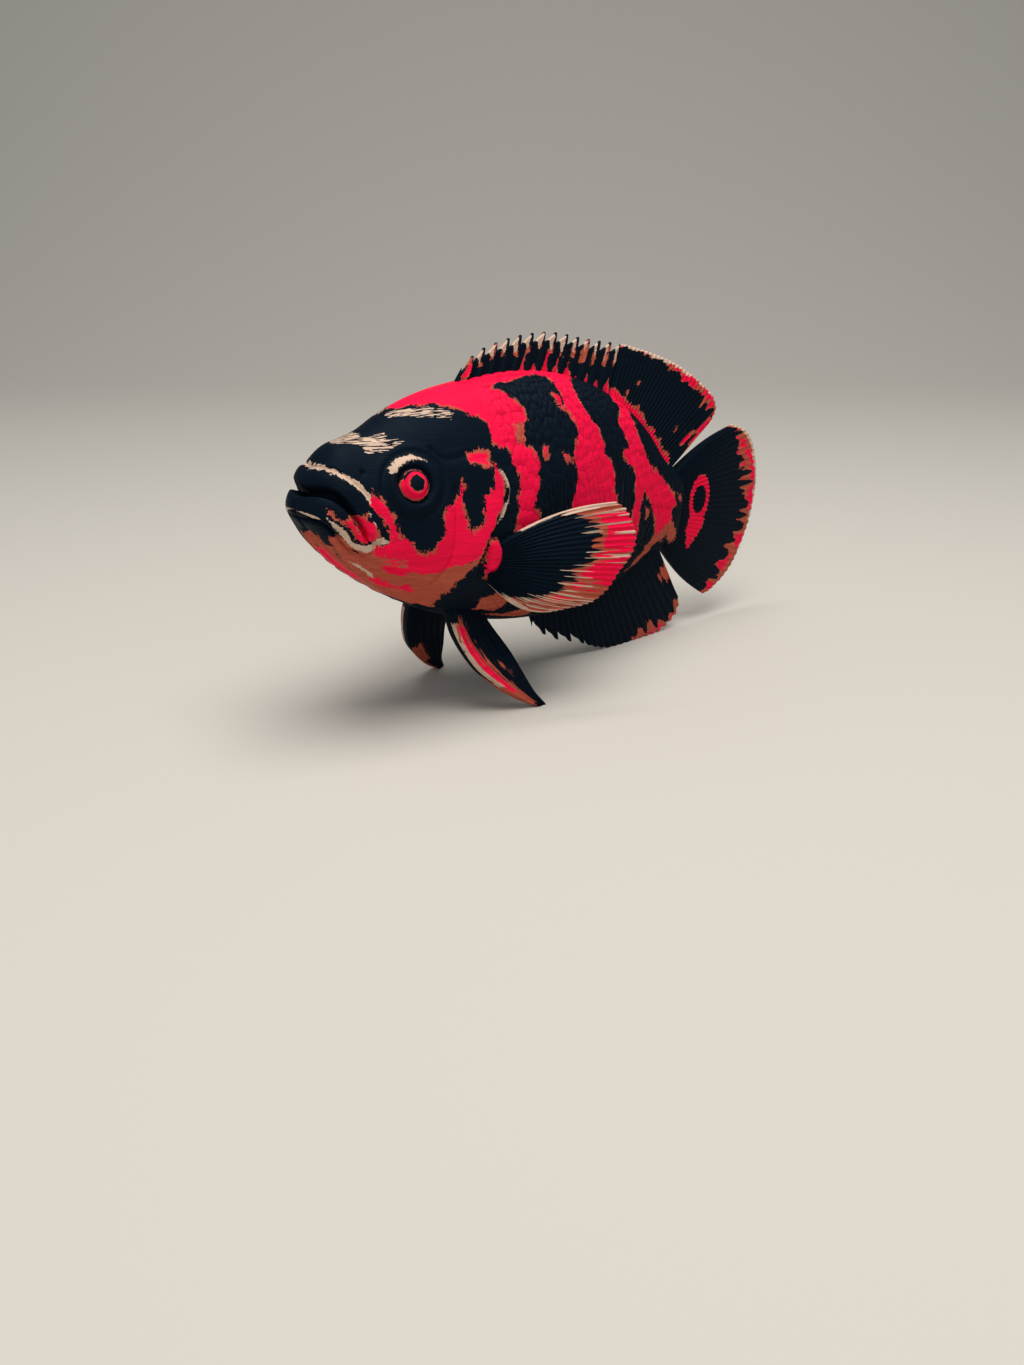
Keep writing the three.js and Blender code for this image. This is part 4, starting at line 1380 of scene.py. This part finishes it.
@dataclass
class SpinyDorsal(Blade):
    """The front of the dorsal fin: stout leaning spines with sawn membranes."""

    spine_half: float = 1.55
    spine_taper: float = 1.0
    spine_share: float = 0.36
    share_taper: float = 0.22

    def half(self, u: Array, v: Array) -> Array:
        """Half thickness: round tapering spines through a thin membrane.

        Args:
            u: Shares from the first spine to the last.
            v: Shares from root to margin.

        Returns:
            The half thicknesses.
        """
        share = self.spine_share - self.share_taper * v
        spine = hump(self.off_ray(u), share) * (self.spine_half - self.spine_taper * v)
        plain = self.root_half + (self.edge_half - self.root_half) * v ** 0.5
        return np.maximum(plain, spine) * self.closing(u, v)

    def colours(self, at: FinPlaces) -> Colours:
        """Pale wedges that widen to the margin in front of the spines, and red ones that rise from the foot.

        Args:
            at: Places on the fin.

        Returns:
            The fields there.
        """
        u, v = at.u, at.v
        fields = Colours.blank(len(u))
        phase, length, cell = self.phase(u), self.length(), np.floor(u * self.rays)
        gap = self.span() / self.rays
        draw, other = scatter(cell, cell * 0, 12), scatter(cell, cell * 0, 13)
        # The pale wedges start at an apex of their own in each membrane, and a few membranes have none.
        apex = 0.6 + 0.14 * draw
        rise = np.clip((v - apex) / (1 - apex), -1, 1)
        strong = band(u, (0.06, 0.16), (0.72, 0.58))
        wedge = np.minimum(phase - 0.74 + (0.1 + 0.2 * strong) * rise, 0.64 + 0.22 * v - phase) * gap
        fields.beige = 2 * np.minimum(wedge, (v - apex) * length) + 0.1 + 0.1 * strong
        fields.beige[(cell < 1) | (other > 0.92)] = -3
        low = np.minimum(np.minimum(phase - 0.64, 0.86 - phase) * gap, (v - apex + 0.1) * length)
        fields.salmon = low + 0.5 * other - 0.4
        # The red ones lean back with the spines, and a round patch is at the front.
        top = 0.3 + (0.1 + 0.12 * other) * band(u, (0.34, 0.4), (0.76, 0.7))
        flame = 2 * (0.28 * (1 - v / top) - np.abs(phase - 0.52 - 0.25 * v)) * gap
        flame = np.minimum(np.minimum(flame, (v - 0.04) * length), smooth(0.3, 0.38, u) * 4 - 2) + 0.12
        patch = 1.2 - np.hypot((u - 0.05) * 50, (v - 0.62) * length * 0.6)
        fields.red = np.maximum(flame, patch)
        return fields


@dataclass
class SoftFin(Blade):
    """A fin of close soft rays, with flames of colour in from its margin.

    Flame and pale give the depth in millimetres of the flames and of the
    beige edge along u, and foot the height of the red strip at the base.
    Redness is how much of the flames is red, open_rear has them along the
    last ray too, spots are salmon dots by u, v and radius, and seed picks the
    fin's own noise.
    """

    flame: Profile = Profile((0, 2), (1, 2))
    pale: Profile = Profile((0, -1), (1, -1))
    foot: Profile = Profile((0, -1), (1, -1))
    redness: float = 0.0
    open_rear: bool = False
    seed: int = 21
    spots: Sequence[Triple] = ()

    def colours(self, at: FinPlaces) -> Colours:
        """Flames at the margin, pale outermost; patches at the foot.

        Args:
            at: Places on the fin.

        Returns:
            The fields there.
        """
        u, v = at.u, at.v
        fields = Colours.blank(len(u))
        length, span = self.length(), self.span()
        edge = (1 - v) * length
        if self.open_rear:
            edge = np.minimum(edge, (1 - u) * span * np.maximum(v, 0.25) + 6 * smooth(0.45, 0.1, v))
        tongue = drift(u * span / 1.5, v * length / 8, self.seed)
        hook = drift(u * span / 1.1, edge / 1.5, self.seed + 1)
        patchy = drift(u * span / 3.5, edge / 2, self.seed + 2)
        deep = self.flame(u)
        fields.salmon = deep * (0.75 + 0.7 * tongue) + hook * smooth(-1, 1, deep) - edge
        core = np.minimum(fields.salmon - 0.7 + 0.5 * hook, edge - 0.7)
        fields.red = np.minimum(core, self.redness + 1.6 * patchy)
        fields.beige = self.pale(u) + 0.35 * hook - edge
        for along_u, up, size in self.spots:
            away = size - np.hypot((u - along_u) * span, (v - up) * length * 0.5)
            fields.salmon = np.maximum(fields.salmon, away)
        strip = self.foot(u) - v * length + 1.1 * tongue * smooth(0.0, 0.2, u) + 0.5 * hook
        fields.salmon = np.maximum(fields.salmon, strip)
        fields.red = np.maximum(fields.red, strip - 0.6)
        return fields


@dataclass
class CaudalFin(SoftFin):
    """The tail fin, with a ringed eye-spot near its root.

    The ring lies between ellipses of half sizes spot_outer and spot_hole, the
    spot runs out below it in a tail round tail_middle, and crisp sharpens the
    ring's edges.
    """

    spot_middle: Pair = (138.5, 2.3)
    spot_outer: Pair = (4.3, 6.8)
    spot_hole: Pair = (2.9, 4.0)
    tail_middle: Pair = (137.6, -6.7)
    tail_half: float = 3.2
    tail_reach: Pair = (5.5, 3.7)
    crisp: float = 5.0

    def colours(self, at: FinPlaces) -> Colours:
        """Margin flames, and the eye-spot's red ring with its tail.

        Args:
            at: Places on the fin.

        Returns:
            The fields there.
        """
        fields = super().colours(at)
        x, z = at.point[:, 0], at.point[:, 2]

        def ellipse(wide: float, tall: float) -> Array:
            """How far each place is inside an ellipse round the spot's middle."""
            far = np.hypot((x - self.spot_middle[0]) / wide, (z - self.spot_middle[1]) / tall)
            return (1 - far) * wide

        outer, hole = ellipse(*self.spot_outer), ellipse(*self.spot_hole)
        up = z - self.tail_middle[1]
        half = np.minimum(self.tail_half + 0.3, self.tail_half + 0.56 * up)
        tail = half - np.abs(x - self.tail_middle[0] - 0.32 * up)
        tail = np.minimum(tail, np.minimum(self.tail_reach[1] - up, up + self.tail_reach[0]))
        spot = np.maximum(self.crisp * np.minimum(outer, -hole), 2 * tail)
        fields.red = np.maximum(fields.red, spot)
        fields.navy = self.crisp * hole
        return fields


@dataclass
class PectoralFin(Blade):
    """A pectoral fin, fanned back and out from the flank.

    Front gives the share of its rays at which the streaks begin, along u.
    """

    front: Profile = Profile((0, 0.5), (0.06, 0.66), (0.15, 0.76), (0.35, 0.7), (0.55, 0.66), (0.75, 0.58),
                             (0.9, 0.42), (1, 0.15))

    def colours(self, at: FinPlaces) -> Colours:
        """Red, salmon and beige streaks that run in along the rays.

        Args:
            at: Places on the fin.

        Returns:
            The fields there.
        """
        u, v = at.u, at.v
        fields = Colours.blank(len(u))
        length = self.length()
        coarse, fine, lines = drift(u * 30, v * 3, 31), drift(u * 75, v * 6, 41), drift(u * 85, v * 3, 47)
        front = (v - self.front(u)) * length + 1.6 * coarse + 1.8 * fine
        fields.salmon = front + 0.4
        # The lower rays turn from red to salmon and beige.
        lower = smooth(0.48, 0.76, u)
        redness = 0.75 + 1.6 * coarse + 1.6 * fine - 2.4 * lower - 2 * smooth(0.1, 0.04, u)
        fields.red = np.minimum(front - 1.4 - 1.6 * fine, redness)
        pale = -1.5 + 3.0 * lines + 1.1 * lower + 0.8 * smooth(0.16, 0.04, u)
        streaks = np.minimum(front + 4.5 * smooth(0.1, 0.7, lines) - 1.0, pale)
        leading = np.minimum((0.016 - u) * 60, (v - 0.22) * length)
        trailing = np.minimum((u - 0.97) * 30 + 1.2 * fine, (v - 0.3) * length)
        fields.beige = np.maximum(streaks, np.maximum(leading, trailing))
        return fields


@dataclass
class PelvicFin(Blade):
    """A pelvic fin: a pointed blade behind a thick strut, which the figurine stands on.

    Its base line is the leading edge, its margin line the trailing edge, and
    v runs along both from the body to the tip. Each band of colour lies
    between two places round from the leading edge, in millimetres and below
    zero on the inner face, and two shares along.
    """

    strut: float = 0.7
    chord: float = 9.0
    tall: float = 28.0
    beige_band: Quad = (0, 1.6, 0.12, 0.66)
    red_band: Quad = (1.4, 3.1, 0.16, 0.74)
    salmon_band: Quad = (0, 3.4, 0.1, 0.78)
    salmon_tip: Quad = (-2.2, 4.6, 0.66, 0.92)
    inner_spot: Quad = (-4, -0.8, 0.5, 0.74)
    dashes: tuple[Quad, Quad] = ((5.6, 6.1, 0.5, 0.53), (6.4, 6.9, 0.58, 0.64))

    def middle(self, u: Array, v: Array) -> Array:
        """The sheet from the leading edge to the trailing edge."""
        front, back = self.lines()
        return along(front, v) + (along(back, v) - along(front, v)) * u[:, None]

    def out(self, u: Array, v: Array) -> Array:
        """The sheet's own normal.

        Args:
            u: Shares from the leading edge to the trailing edge.
            v: Shares from the body to the tip.

        Returns:
            One unit normal a row.
        """
        front, back = self.lines()
        down = self.middle(u, np.minimum(v + 0.02, 1)) - self.middle(u, np.maximum(v - 0.02, 0))
        normal = np.cross(down, along(back, v) - along(front, v))
        return normal / np.linalg.norm(normal, axis=1, keepdims=True)

    def half(self, u: Array, v: Array) -> Array:
        """Half thickness, greatest along the strut.

        Args:
            u: Shares from the leading edge to the trailing edge.
            v: Shares from the body to the tip.

        Returns:
            The half thicknesses.
        """
        crest = bell(self.off_ray(u), 0.17)
        plain = (self.root_half + (self.edge_half - self.root_half) * v) * (1 - 0.35 * u)
        thick = (plain + self.ridge * crest + self.strut * bell(u, 0.12)) * (1 - 0.25 * v)
        side = np.clip(np.minimum(u, 1 - u) * self.rays / 0.3, 0, 1)
        ends = np.clip(np.minimum(v / 0.01, (1 - v) / 0.03), 0, 1)
        return thick * hump(1 - side) * hump(1 - ends)

    def colours(self, at: FinPlaces) -> Colours:
        """Beige and red bands behind the strut and salmon to the tip outside; one salmon spot inside.

        Args:
            at: Places on the fin.

        Returns:
            The fields there.
        """
        v = at.v
        fields = Colours.blank(len(v))
        # Millimetres round from the leading edge, below zero on the inner face.
        round_ = at.face * (self.half(at.u, v) + self.chord * at.u)

        def patch(low: float, high: float, top: float, bottom: float) -> Array:
            """A band between two places round and two shares along."""
            sides = np.minimum(round_ - low, high - round_)
            return np.minimum(sides, np.minimum(v - top, bottom - v) * self.tall)

        fields.beige = patch(*self.beige_band)
        fields.red = patch(*self.red_band)
        dashes = np.maximum(*(patch(*dash) for dash in self.dashes)) + 0.15
        slant = (v - self.salmon_tip[2]) * self.tall + 1.2 * (round_ + 0.5)
        tip = np.minimum(patch(*self.salmon_tip), slant)
        behind = np.maximum(np.maximum(patch(*self.salmon_band), tip), dashes)
        fields.salmon = np.maximum(behind, patch(*self.inner_spot))
        return fields


def upright(*places: Pair) -> list[Triple]:
    """Side-view places (x, z), as points on the fish's midline."""
    return [(x, 0.0, z) for x, z in places]


@dataclass
class Fins:
    """All the fins, and how each is placed.

    Root is where a pectoral fin leaves its flank, and spread how far it stands
    out.
    """

    root: Triple = (47.0, 18.2, -10.0)
    spread: float = math.radians(22)

    def spiny_dorsal(self) -> Blade:
        """The spiny dorsal fin.

        Returns:
            The fin.
        """
        return SpinyDorsal(
            "dorsal_spines",
            upright((42.4, 27.5), (56, 31), (68, 32.2), (80, 31.6), (95.4, 28.4)),
            upright((45.4, 33.6), (50, 37.5), (55, 39.7), (63, 42.2), (73.8, 43.7), (85.5, 43),
                    (98.7, 42.7)),
            rays=14, root_half=0.9, edge_half=0.4, ridge=0.0, notch=0.0, saw=Saw(3.2), rows=54,
            stops_per_ray=16)

    def soft_dorsal(self) -> Blade:
        """The soft dorsal fin.

        Returns:
            The fin.
        """
        return SoftFin(
            "dorsal_soft",
            upright((95.8, 28.4), (104, 24.2), (112, 19), (117.5, 14.6), (123.6, 10.2)),
            upright((99.1, 42.7), (106, 41.9), (113.2, 40.8), (123.6, 38.4), (133.7, 34.3), (139.8, 30.6),
                    (141.2, 27.7), (139.1, 23.8)),
            rays=30, root_half=1.1, edge_half=0.36, ridge=0.45, notch=0.02,
            flame=Profile((0, 0.7), (0.25, 1.3), (0.4, 2.4), (0.6, 3.6), (0.8, 4.0), (1, 2.2)),
            pale=Profile((0, 0.7), (0.15, 1.0), (0.5, 0.9), (0.7, 0.4), (1, 0.2)),
            foot=Profile((0, 4.6), (0.2, 3.9), (0.5, 3.1), (0.75, 2.5), (0.9, 1.8), (0.96, -0.6)),
            redness=0.7, open_rear=True, seed=21, spots=((0.17, 0.3, 0.45), (0.24, 0.52, 0.4)))

    def anal(self) -> Blade:
        """The anal fin, whose lower edge stands on the floor and whose front is sawn.

        Returns:
            The fin.
        """
        return SoftFin(
            "anal_fin_blade",
            upright((76, -25.8), (88, -24.6), (100, -21.4), (112, -15.8), (123.2, -10.8)),
            upright((78.2, -31.4), (86.4, -34.9), (97.2, -37), (104.5, -38.8), (111.8, -39.3), (117, -38.7),
                    (122.2, -37.7), (130.9, -35.3), (136.1, -31.1), (136.5, -27.7), (134.1, -24.3)),
            rays=26, root_half=1.2, edge_half=0.48, ridge=0.45, notch=0.03, saw=Saw(2.9, 0.3, 2),
            flame=Profile((0, -4), (0.5, -4), (0.62, 1), (0.78, 3.4), (0.9, 3.2), (1, 1.2)),
            redness=-0.4, open_rear=True, seed=51)

    def caudal(self) -> Blade:
        """The tail fin.

        Returns:
            The fin.
        """
        return CaudalFin(
            "caudal_blade",
            upright((124.5, 9), (124.5, 4), (124.5, -4.6), (124.5, -11)),
            upright((150, 23.8), (157.4, 21.7), (162, 16.4), (164.9, 8.1), (165, 0.5), (163.7, -6.8),
                    (158.3, -18.3), (150.4, -24.8), (147.4, -25.9)),
            rays=32, root_half=1.3, edge_half=0.36, ridge=0.34, notch=0.005, bow=1.7,
            flame=Profile((0, 3), (0.12, 5.8), (0.5, 5.2), (0.85, 6), (1, 3.6)),
            pale=Profile((0, 1.6), (0.25, 1.4), (0.5, 0.9), (1, 0.4)), redness=-0.3, seed=71, rows=84)

    def pectoral(self) -> Blade:
        """The left pectoral fin.

        Returns:
            The fin.
        """
        sin, cos = math.sin(self.spread), math.cos(self.spread)

        def spread(*places: Pair) -> list[Triple]:
            """Places back and up from the root, in the plane of the fin."""
            return [(self.root[0] + back * cos, -self.root[1] - back * sin, self.root[2] + up)
                    for back, up in places]

        return PectoralFin(
            "pectoral_blade",
            spread((-2.6, 4.2), (-2.8, 0), (-2.6, -4.4)),
            spread((28, 16.5), (31, 14.8), (33.4, 11), (34.6, 7.6), (34, 4), (31.2, -0.4), (28.6, -4.9),
                   (24.8, -8.1), (19.5, -9.6), (14.3, -10.8)),
            rays=26, root_half=0.85, edge_half=0.3, ridge=0.36, notch=0.02, cup=1.6, bow=2.4,
            across=(-sin, -cos, 0.0), paired=True, rows=70)

    def pelvic(self) -> Blade:
        """The left pelvic fin.

        Returns:
            The fin.
        """
        return PelvicFin(
            "pelvic_blade",
            [(41.5, -7.2, -21.5), (42.6, -9.9, -28.4), (46.9, -13.4, -35.9), (50.8, -15.2, -39.2),
             (57, -17.4, -43.2), (65.2, -19.4, -46.6)],
            [(52.4, -5.2, -22.6), (55.6, -8.6, -28), (58.6, -12.4, -33), (61, -15, -37.6),
             (63.4, -17.9, -42.4), (66.3, -20, -45.6)],
            rays=6, root_half=1.45, edge_half=0.7, ridge=0.3, paired=True, rows=70, stops_per_ray=12)


@dataclass
class Eye:
    """An eyeball: a dark pupil in a raised red ring, and a ragged rim beyond a groove darkened with painted
    shade.
    """

    form: BodyForm
    radius: float = 4.3
    pupil: float = 1.85
    lip_height: float = 0.14
    groove: float = 2.95
    groove_depth: float = 0.2
    rim: float = 3.1
    rim_low: float = 0.45
    hidden_chart: float = 9.0
    stops_round: int = 96
    stops_down: int = 80

    def build(self, seat: Matrix, side: Side) -> bpy.types.Object:
        """Make one eyeball.

        Args:
            seat: The step from millimetres to the frame.
            side: Which eye.

        Returns:
            The piece.
        """
        centre = self.form.eye_centre()
        axis = self.form.normal(self.form.eye_x, self.form.eye_girth)
        turn = np.array(Vector(axis).to_track_quat("Z", "Y").to_matrix())

        def bend(round_: Array, down: Array) -> tuple[Array, Array, Colours]:
            """A ball whose pole looks out of the head, its rim wider low in front.

            Args:
                round_: Angles round the pole.
                down: Angles down from the pole.

            Returns:
                Points, chart places and colours.
            """
            local = [np.sin(down) * np.cos(round_), np.sin(down) * np.sin(round_), np.cos(down)]
            turned = np.stack(local, axis=1) @ turn.T
            off = self.radius * np.sin(down) + self.hidden_chart * (down > np.pi / 2)
            low = smooth(0.25, -0.25, turned[:, 2] + 0.4 * turned[:, 0])
            lip = self.lip_height * bell(off - self.pupil - 0.35, 0.3)
            groove = self.groove_depth * (1 - 0.5 * low) * bell(off - self.groove, 0.2)
            points = centre + (self.radius + lip - groove)[:, None] * turned
            rim = self.rim + self.rim_low * low
            fields = Colours.blank(len(down))
            fields.red = np.minimum(off - self.pupil, rim - 0.12 - off)
            fields.salmon = np.minimum(off - self.pupil - 0.5, rim + 0.12 - off)
            # The navy band along the groove is painted shade, left out low in front.
            fields.navy = 0.24 - 0.5 * low - np.abs(off - self.groove)
            return side.mirrored(points), np.stack([round_ * 3, off], axis=1), fields

        rounds = np.linspace(0, 2 * np.pi, self.stops_round + 1)
        downs = np.linspace(0, np.pi, self.stops_down + 1)
        return bent_grid(f"eyeball_{side.name.lower()}", rounds, downs, bend, seat)


# The studio.


@dataclass(frozen=True)
class Softbox:
    """A soft square light that looks at the figurine."""

    name: str
    place: Triple
    size: float
    power: float
    colour: Triple


@dataclass
class Studio:
    """The pale floor, the soft light and the camera, in metres but for the camera's place."""

    azimuth: float = math.radians(-42.7)
    tilt: float = math.radians(20.2)
    camera_place: Triple = (-164.06, -248.95, 68.64)
    focal_px: float = 1380.0
    frame_px: tuple[int, int] = (1024, 1365)
    sensor: float = 36.0
    aim: Triple = (0, 0, 0.05)
    softboxes: Sequence[Softbox] = (
        Softbox("softbox_above", (-0.05, -0.12, 0.75), 0.6, 7.5, (1.0, 0.97, 0.93)),
        Softbox("softbox_front", (-0.75, -0.7, 0.45), 0.7, 2.6, (1.0, 0.96, 0.92)))
    air_colour: Quad = (0.85, 0.9, 1.0, 1)
    air_strength: float = 0.24
    paper: Quad = (0.53, 0.505, 0.455, 1)
    paper_roughness: float = 0.9
    sweep_half: float = 1.6
    sweep_start: float = 0.5
    sweep_radius: float = 0.55

    def camera(self, seat: Matrix, drop: float) -> None:
        """Set the camera where the photo was taken.

        Args:
            seat: The fish's seat, for its place along the floor.
            drop: The level of the floor under the fish's own origin.
        """
        data = bpy.data.cameras.new("photo_camera")
        data.sensor_fit = "AUTO"
        data.sensor_width = self.sensor
        data.lens = self.focal_px / max(self.frame_px) * self.sensor
        data.clip_start = 0.01
        camera = linked("photo_camera", data)
        level = math.cos(self.tilt)
        back = Vector((math.sin(self.azimuth) * level, -math.cos(self.azimuth) * level, math.sin(self.tilt)))
        right = Vector((math.cos(self.azimuth), math.sin(self.azimuth), 0))
        camera.matrix_world = Matrix((right, back.cross(right), back)).transposed().to_4x4()
        x, y, z = self.camera_place
        camera.location = (x * MM + seat.translation.x, y * MM, (z + drop) * MM)
        bpy.context.scene.camera = camera

    def floor(self) -> None:
        """A pale sweep: level under the figurine, curving up far behind it."""
        bm = bmesh.new()
        bmesh.ops.create_grid(bm, x_segments=4, y_segments=60, size=self.sweep_half)
        start, radius = self.sweep_start, self.sweep_radius
        for vertex in bm.verts:
            far = max(0.0, vertex.co.y - start)
            turn = min(far / radius, math.pi / 2)
            vertex.co.y = min(vertex.co.y, start) + radius * math.sin(turn)
            vertex.co.z = radius * (1 - math.cos(turn)) + max(0.0, far - radius * math.pi / 2)
        facing = Matrix.Rotation(self.azimuth, 3, "Z")
        bmesh.ops.rotate(bm, cent=(0, 0, 0), matrix=facing, verts=bm.verts)
        mesh = bpy.data.meshes.new("studio_floor")
        bm.to_mesh(mesh)
        bm.free()
        mesh.shade_smooth()
        material = bpy.data.materials.new("studio_paper")
        material.use_nodes = True
        shader = material.node_tree.nodes["Principled BSDF"]
        shader.inputs["Base Color"].default_value = self.paper
        shader.inputs["Roughness"].default_value = self.paper_roughness
        mesh.materials.append(material)
        sweep = linked("studio_floor", mesh)

    def lights(self) -> None:
        """A broad light above, a soft one ahead, and dim air all round."""
        for box in self.softboxes:
            data = bpy.data.lights.new(box.name, "AREA")
            data.size = box.size
            data.energy = box.power
            data.color = box.colour
            lamp = linked(box.name, data)
            lamp.location = box.place
            toward = Vector(self.aim) - Vector(box.place)
            lamp.rotation_euler = toward.to_track_quat("-Z", "Y").to_euler()
        world = bpy.data.worlds.new("studio_air")
        world.use_nodes = True
        air = world.node_tree.nodes["Background"].inputs
        air["Color"].default_value = self.air_colour
        air["Strength"].default_value = self.air_strength
        bpy.context.scene.world = world
        bpy.context.scene.view_settings.view_transform = "Standard"


def main() -> None:
    """Build the studio and the figurine."""
    logging.basicConfig(level=logging.INFO, format="%(name)s: %(message)s")
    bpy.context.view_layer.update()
    form = BodyForm()
    place = Seat()
    seat = place.matrix(form)
    studio = Studio()
    studio.camera(seat, place.floor_drop)
    studio.floor()
    studio.lights()
    plastics = PrintedPlastic()
    skin, fin, streaky, glossy = (
        plastics.material(finish) for finish in (SKIN_FINISH, FIN_FINISH, STREAK_FINISH, EYE_FINISH))
    dress(FleshSkin(form, Markings()).build(seat), skin, "navy_plastic", "head", "upper_lip", "lower_jaw",
          "gill_cover_left", "gill_cover_right", "torso", "tail_stalk")
    fins = Fins()
    for blade, node in ((fins.spiny_dorsal(), "dorsal_fin_spiny"), (fins.soft_dorsal(), "dorsal_fin_soft"),
                        (fins.anal(), "anal_fin"), (fins.caudal(), "caudal_fin")):
        dress(blade.build(seat), fin, "navy_plastic", node)
    for side in Side:
        name = side.name.lower()
        dress(Eye(form).build(seat, side), glossy, "iris_plastic", f"eye_{name}")
        dress(fins.pectoral().build(seat, side), streaky, "navy_plastic", f"pectoral_fin_{name}")
        dress(fins.pelvic().build(seat, side), fin, "coral_plastic", f"pelvic_fin_{name}")


if __name__ == "__main__":
    main()
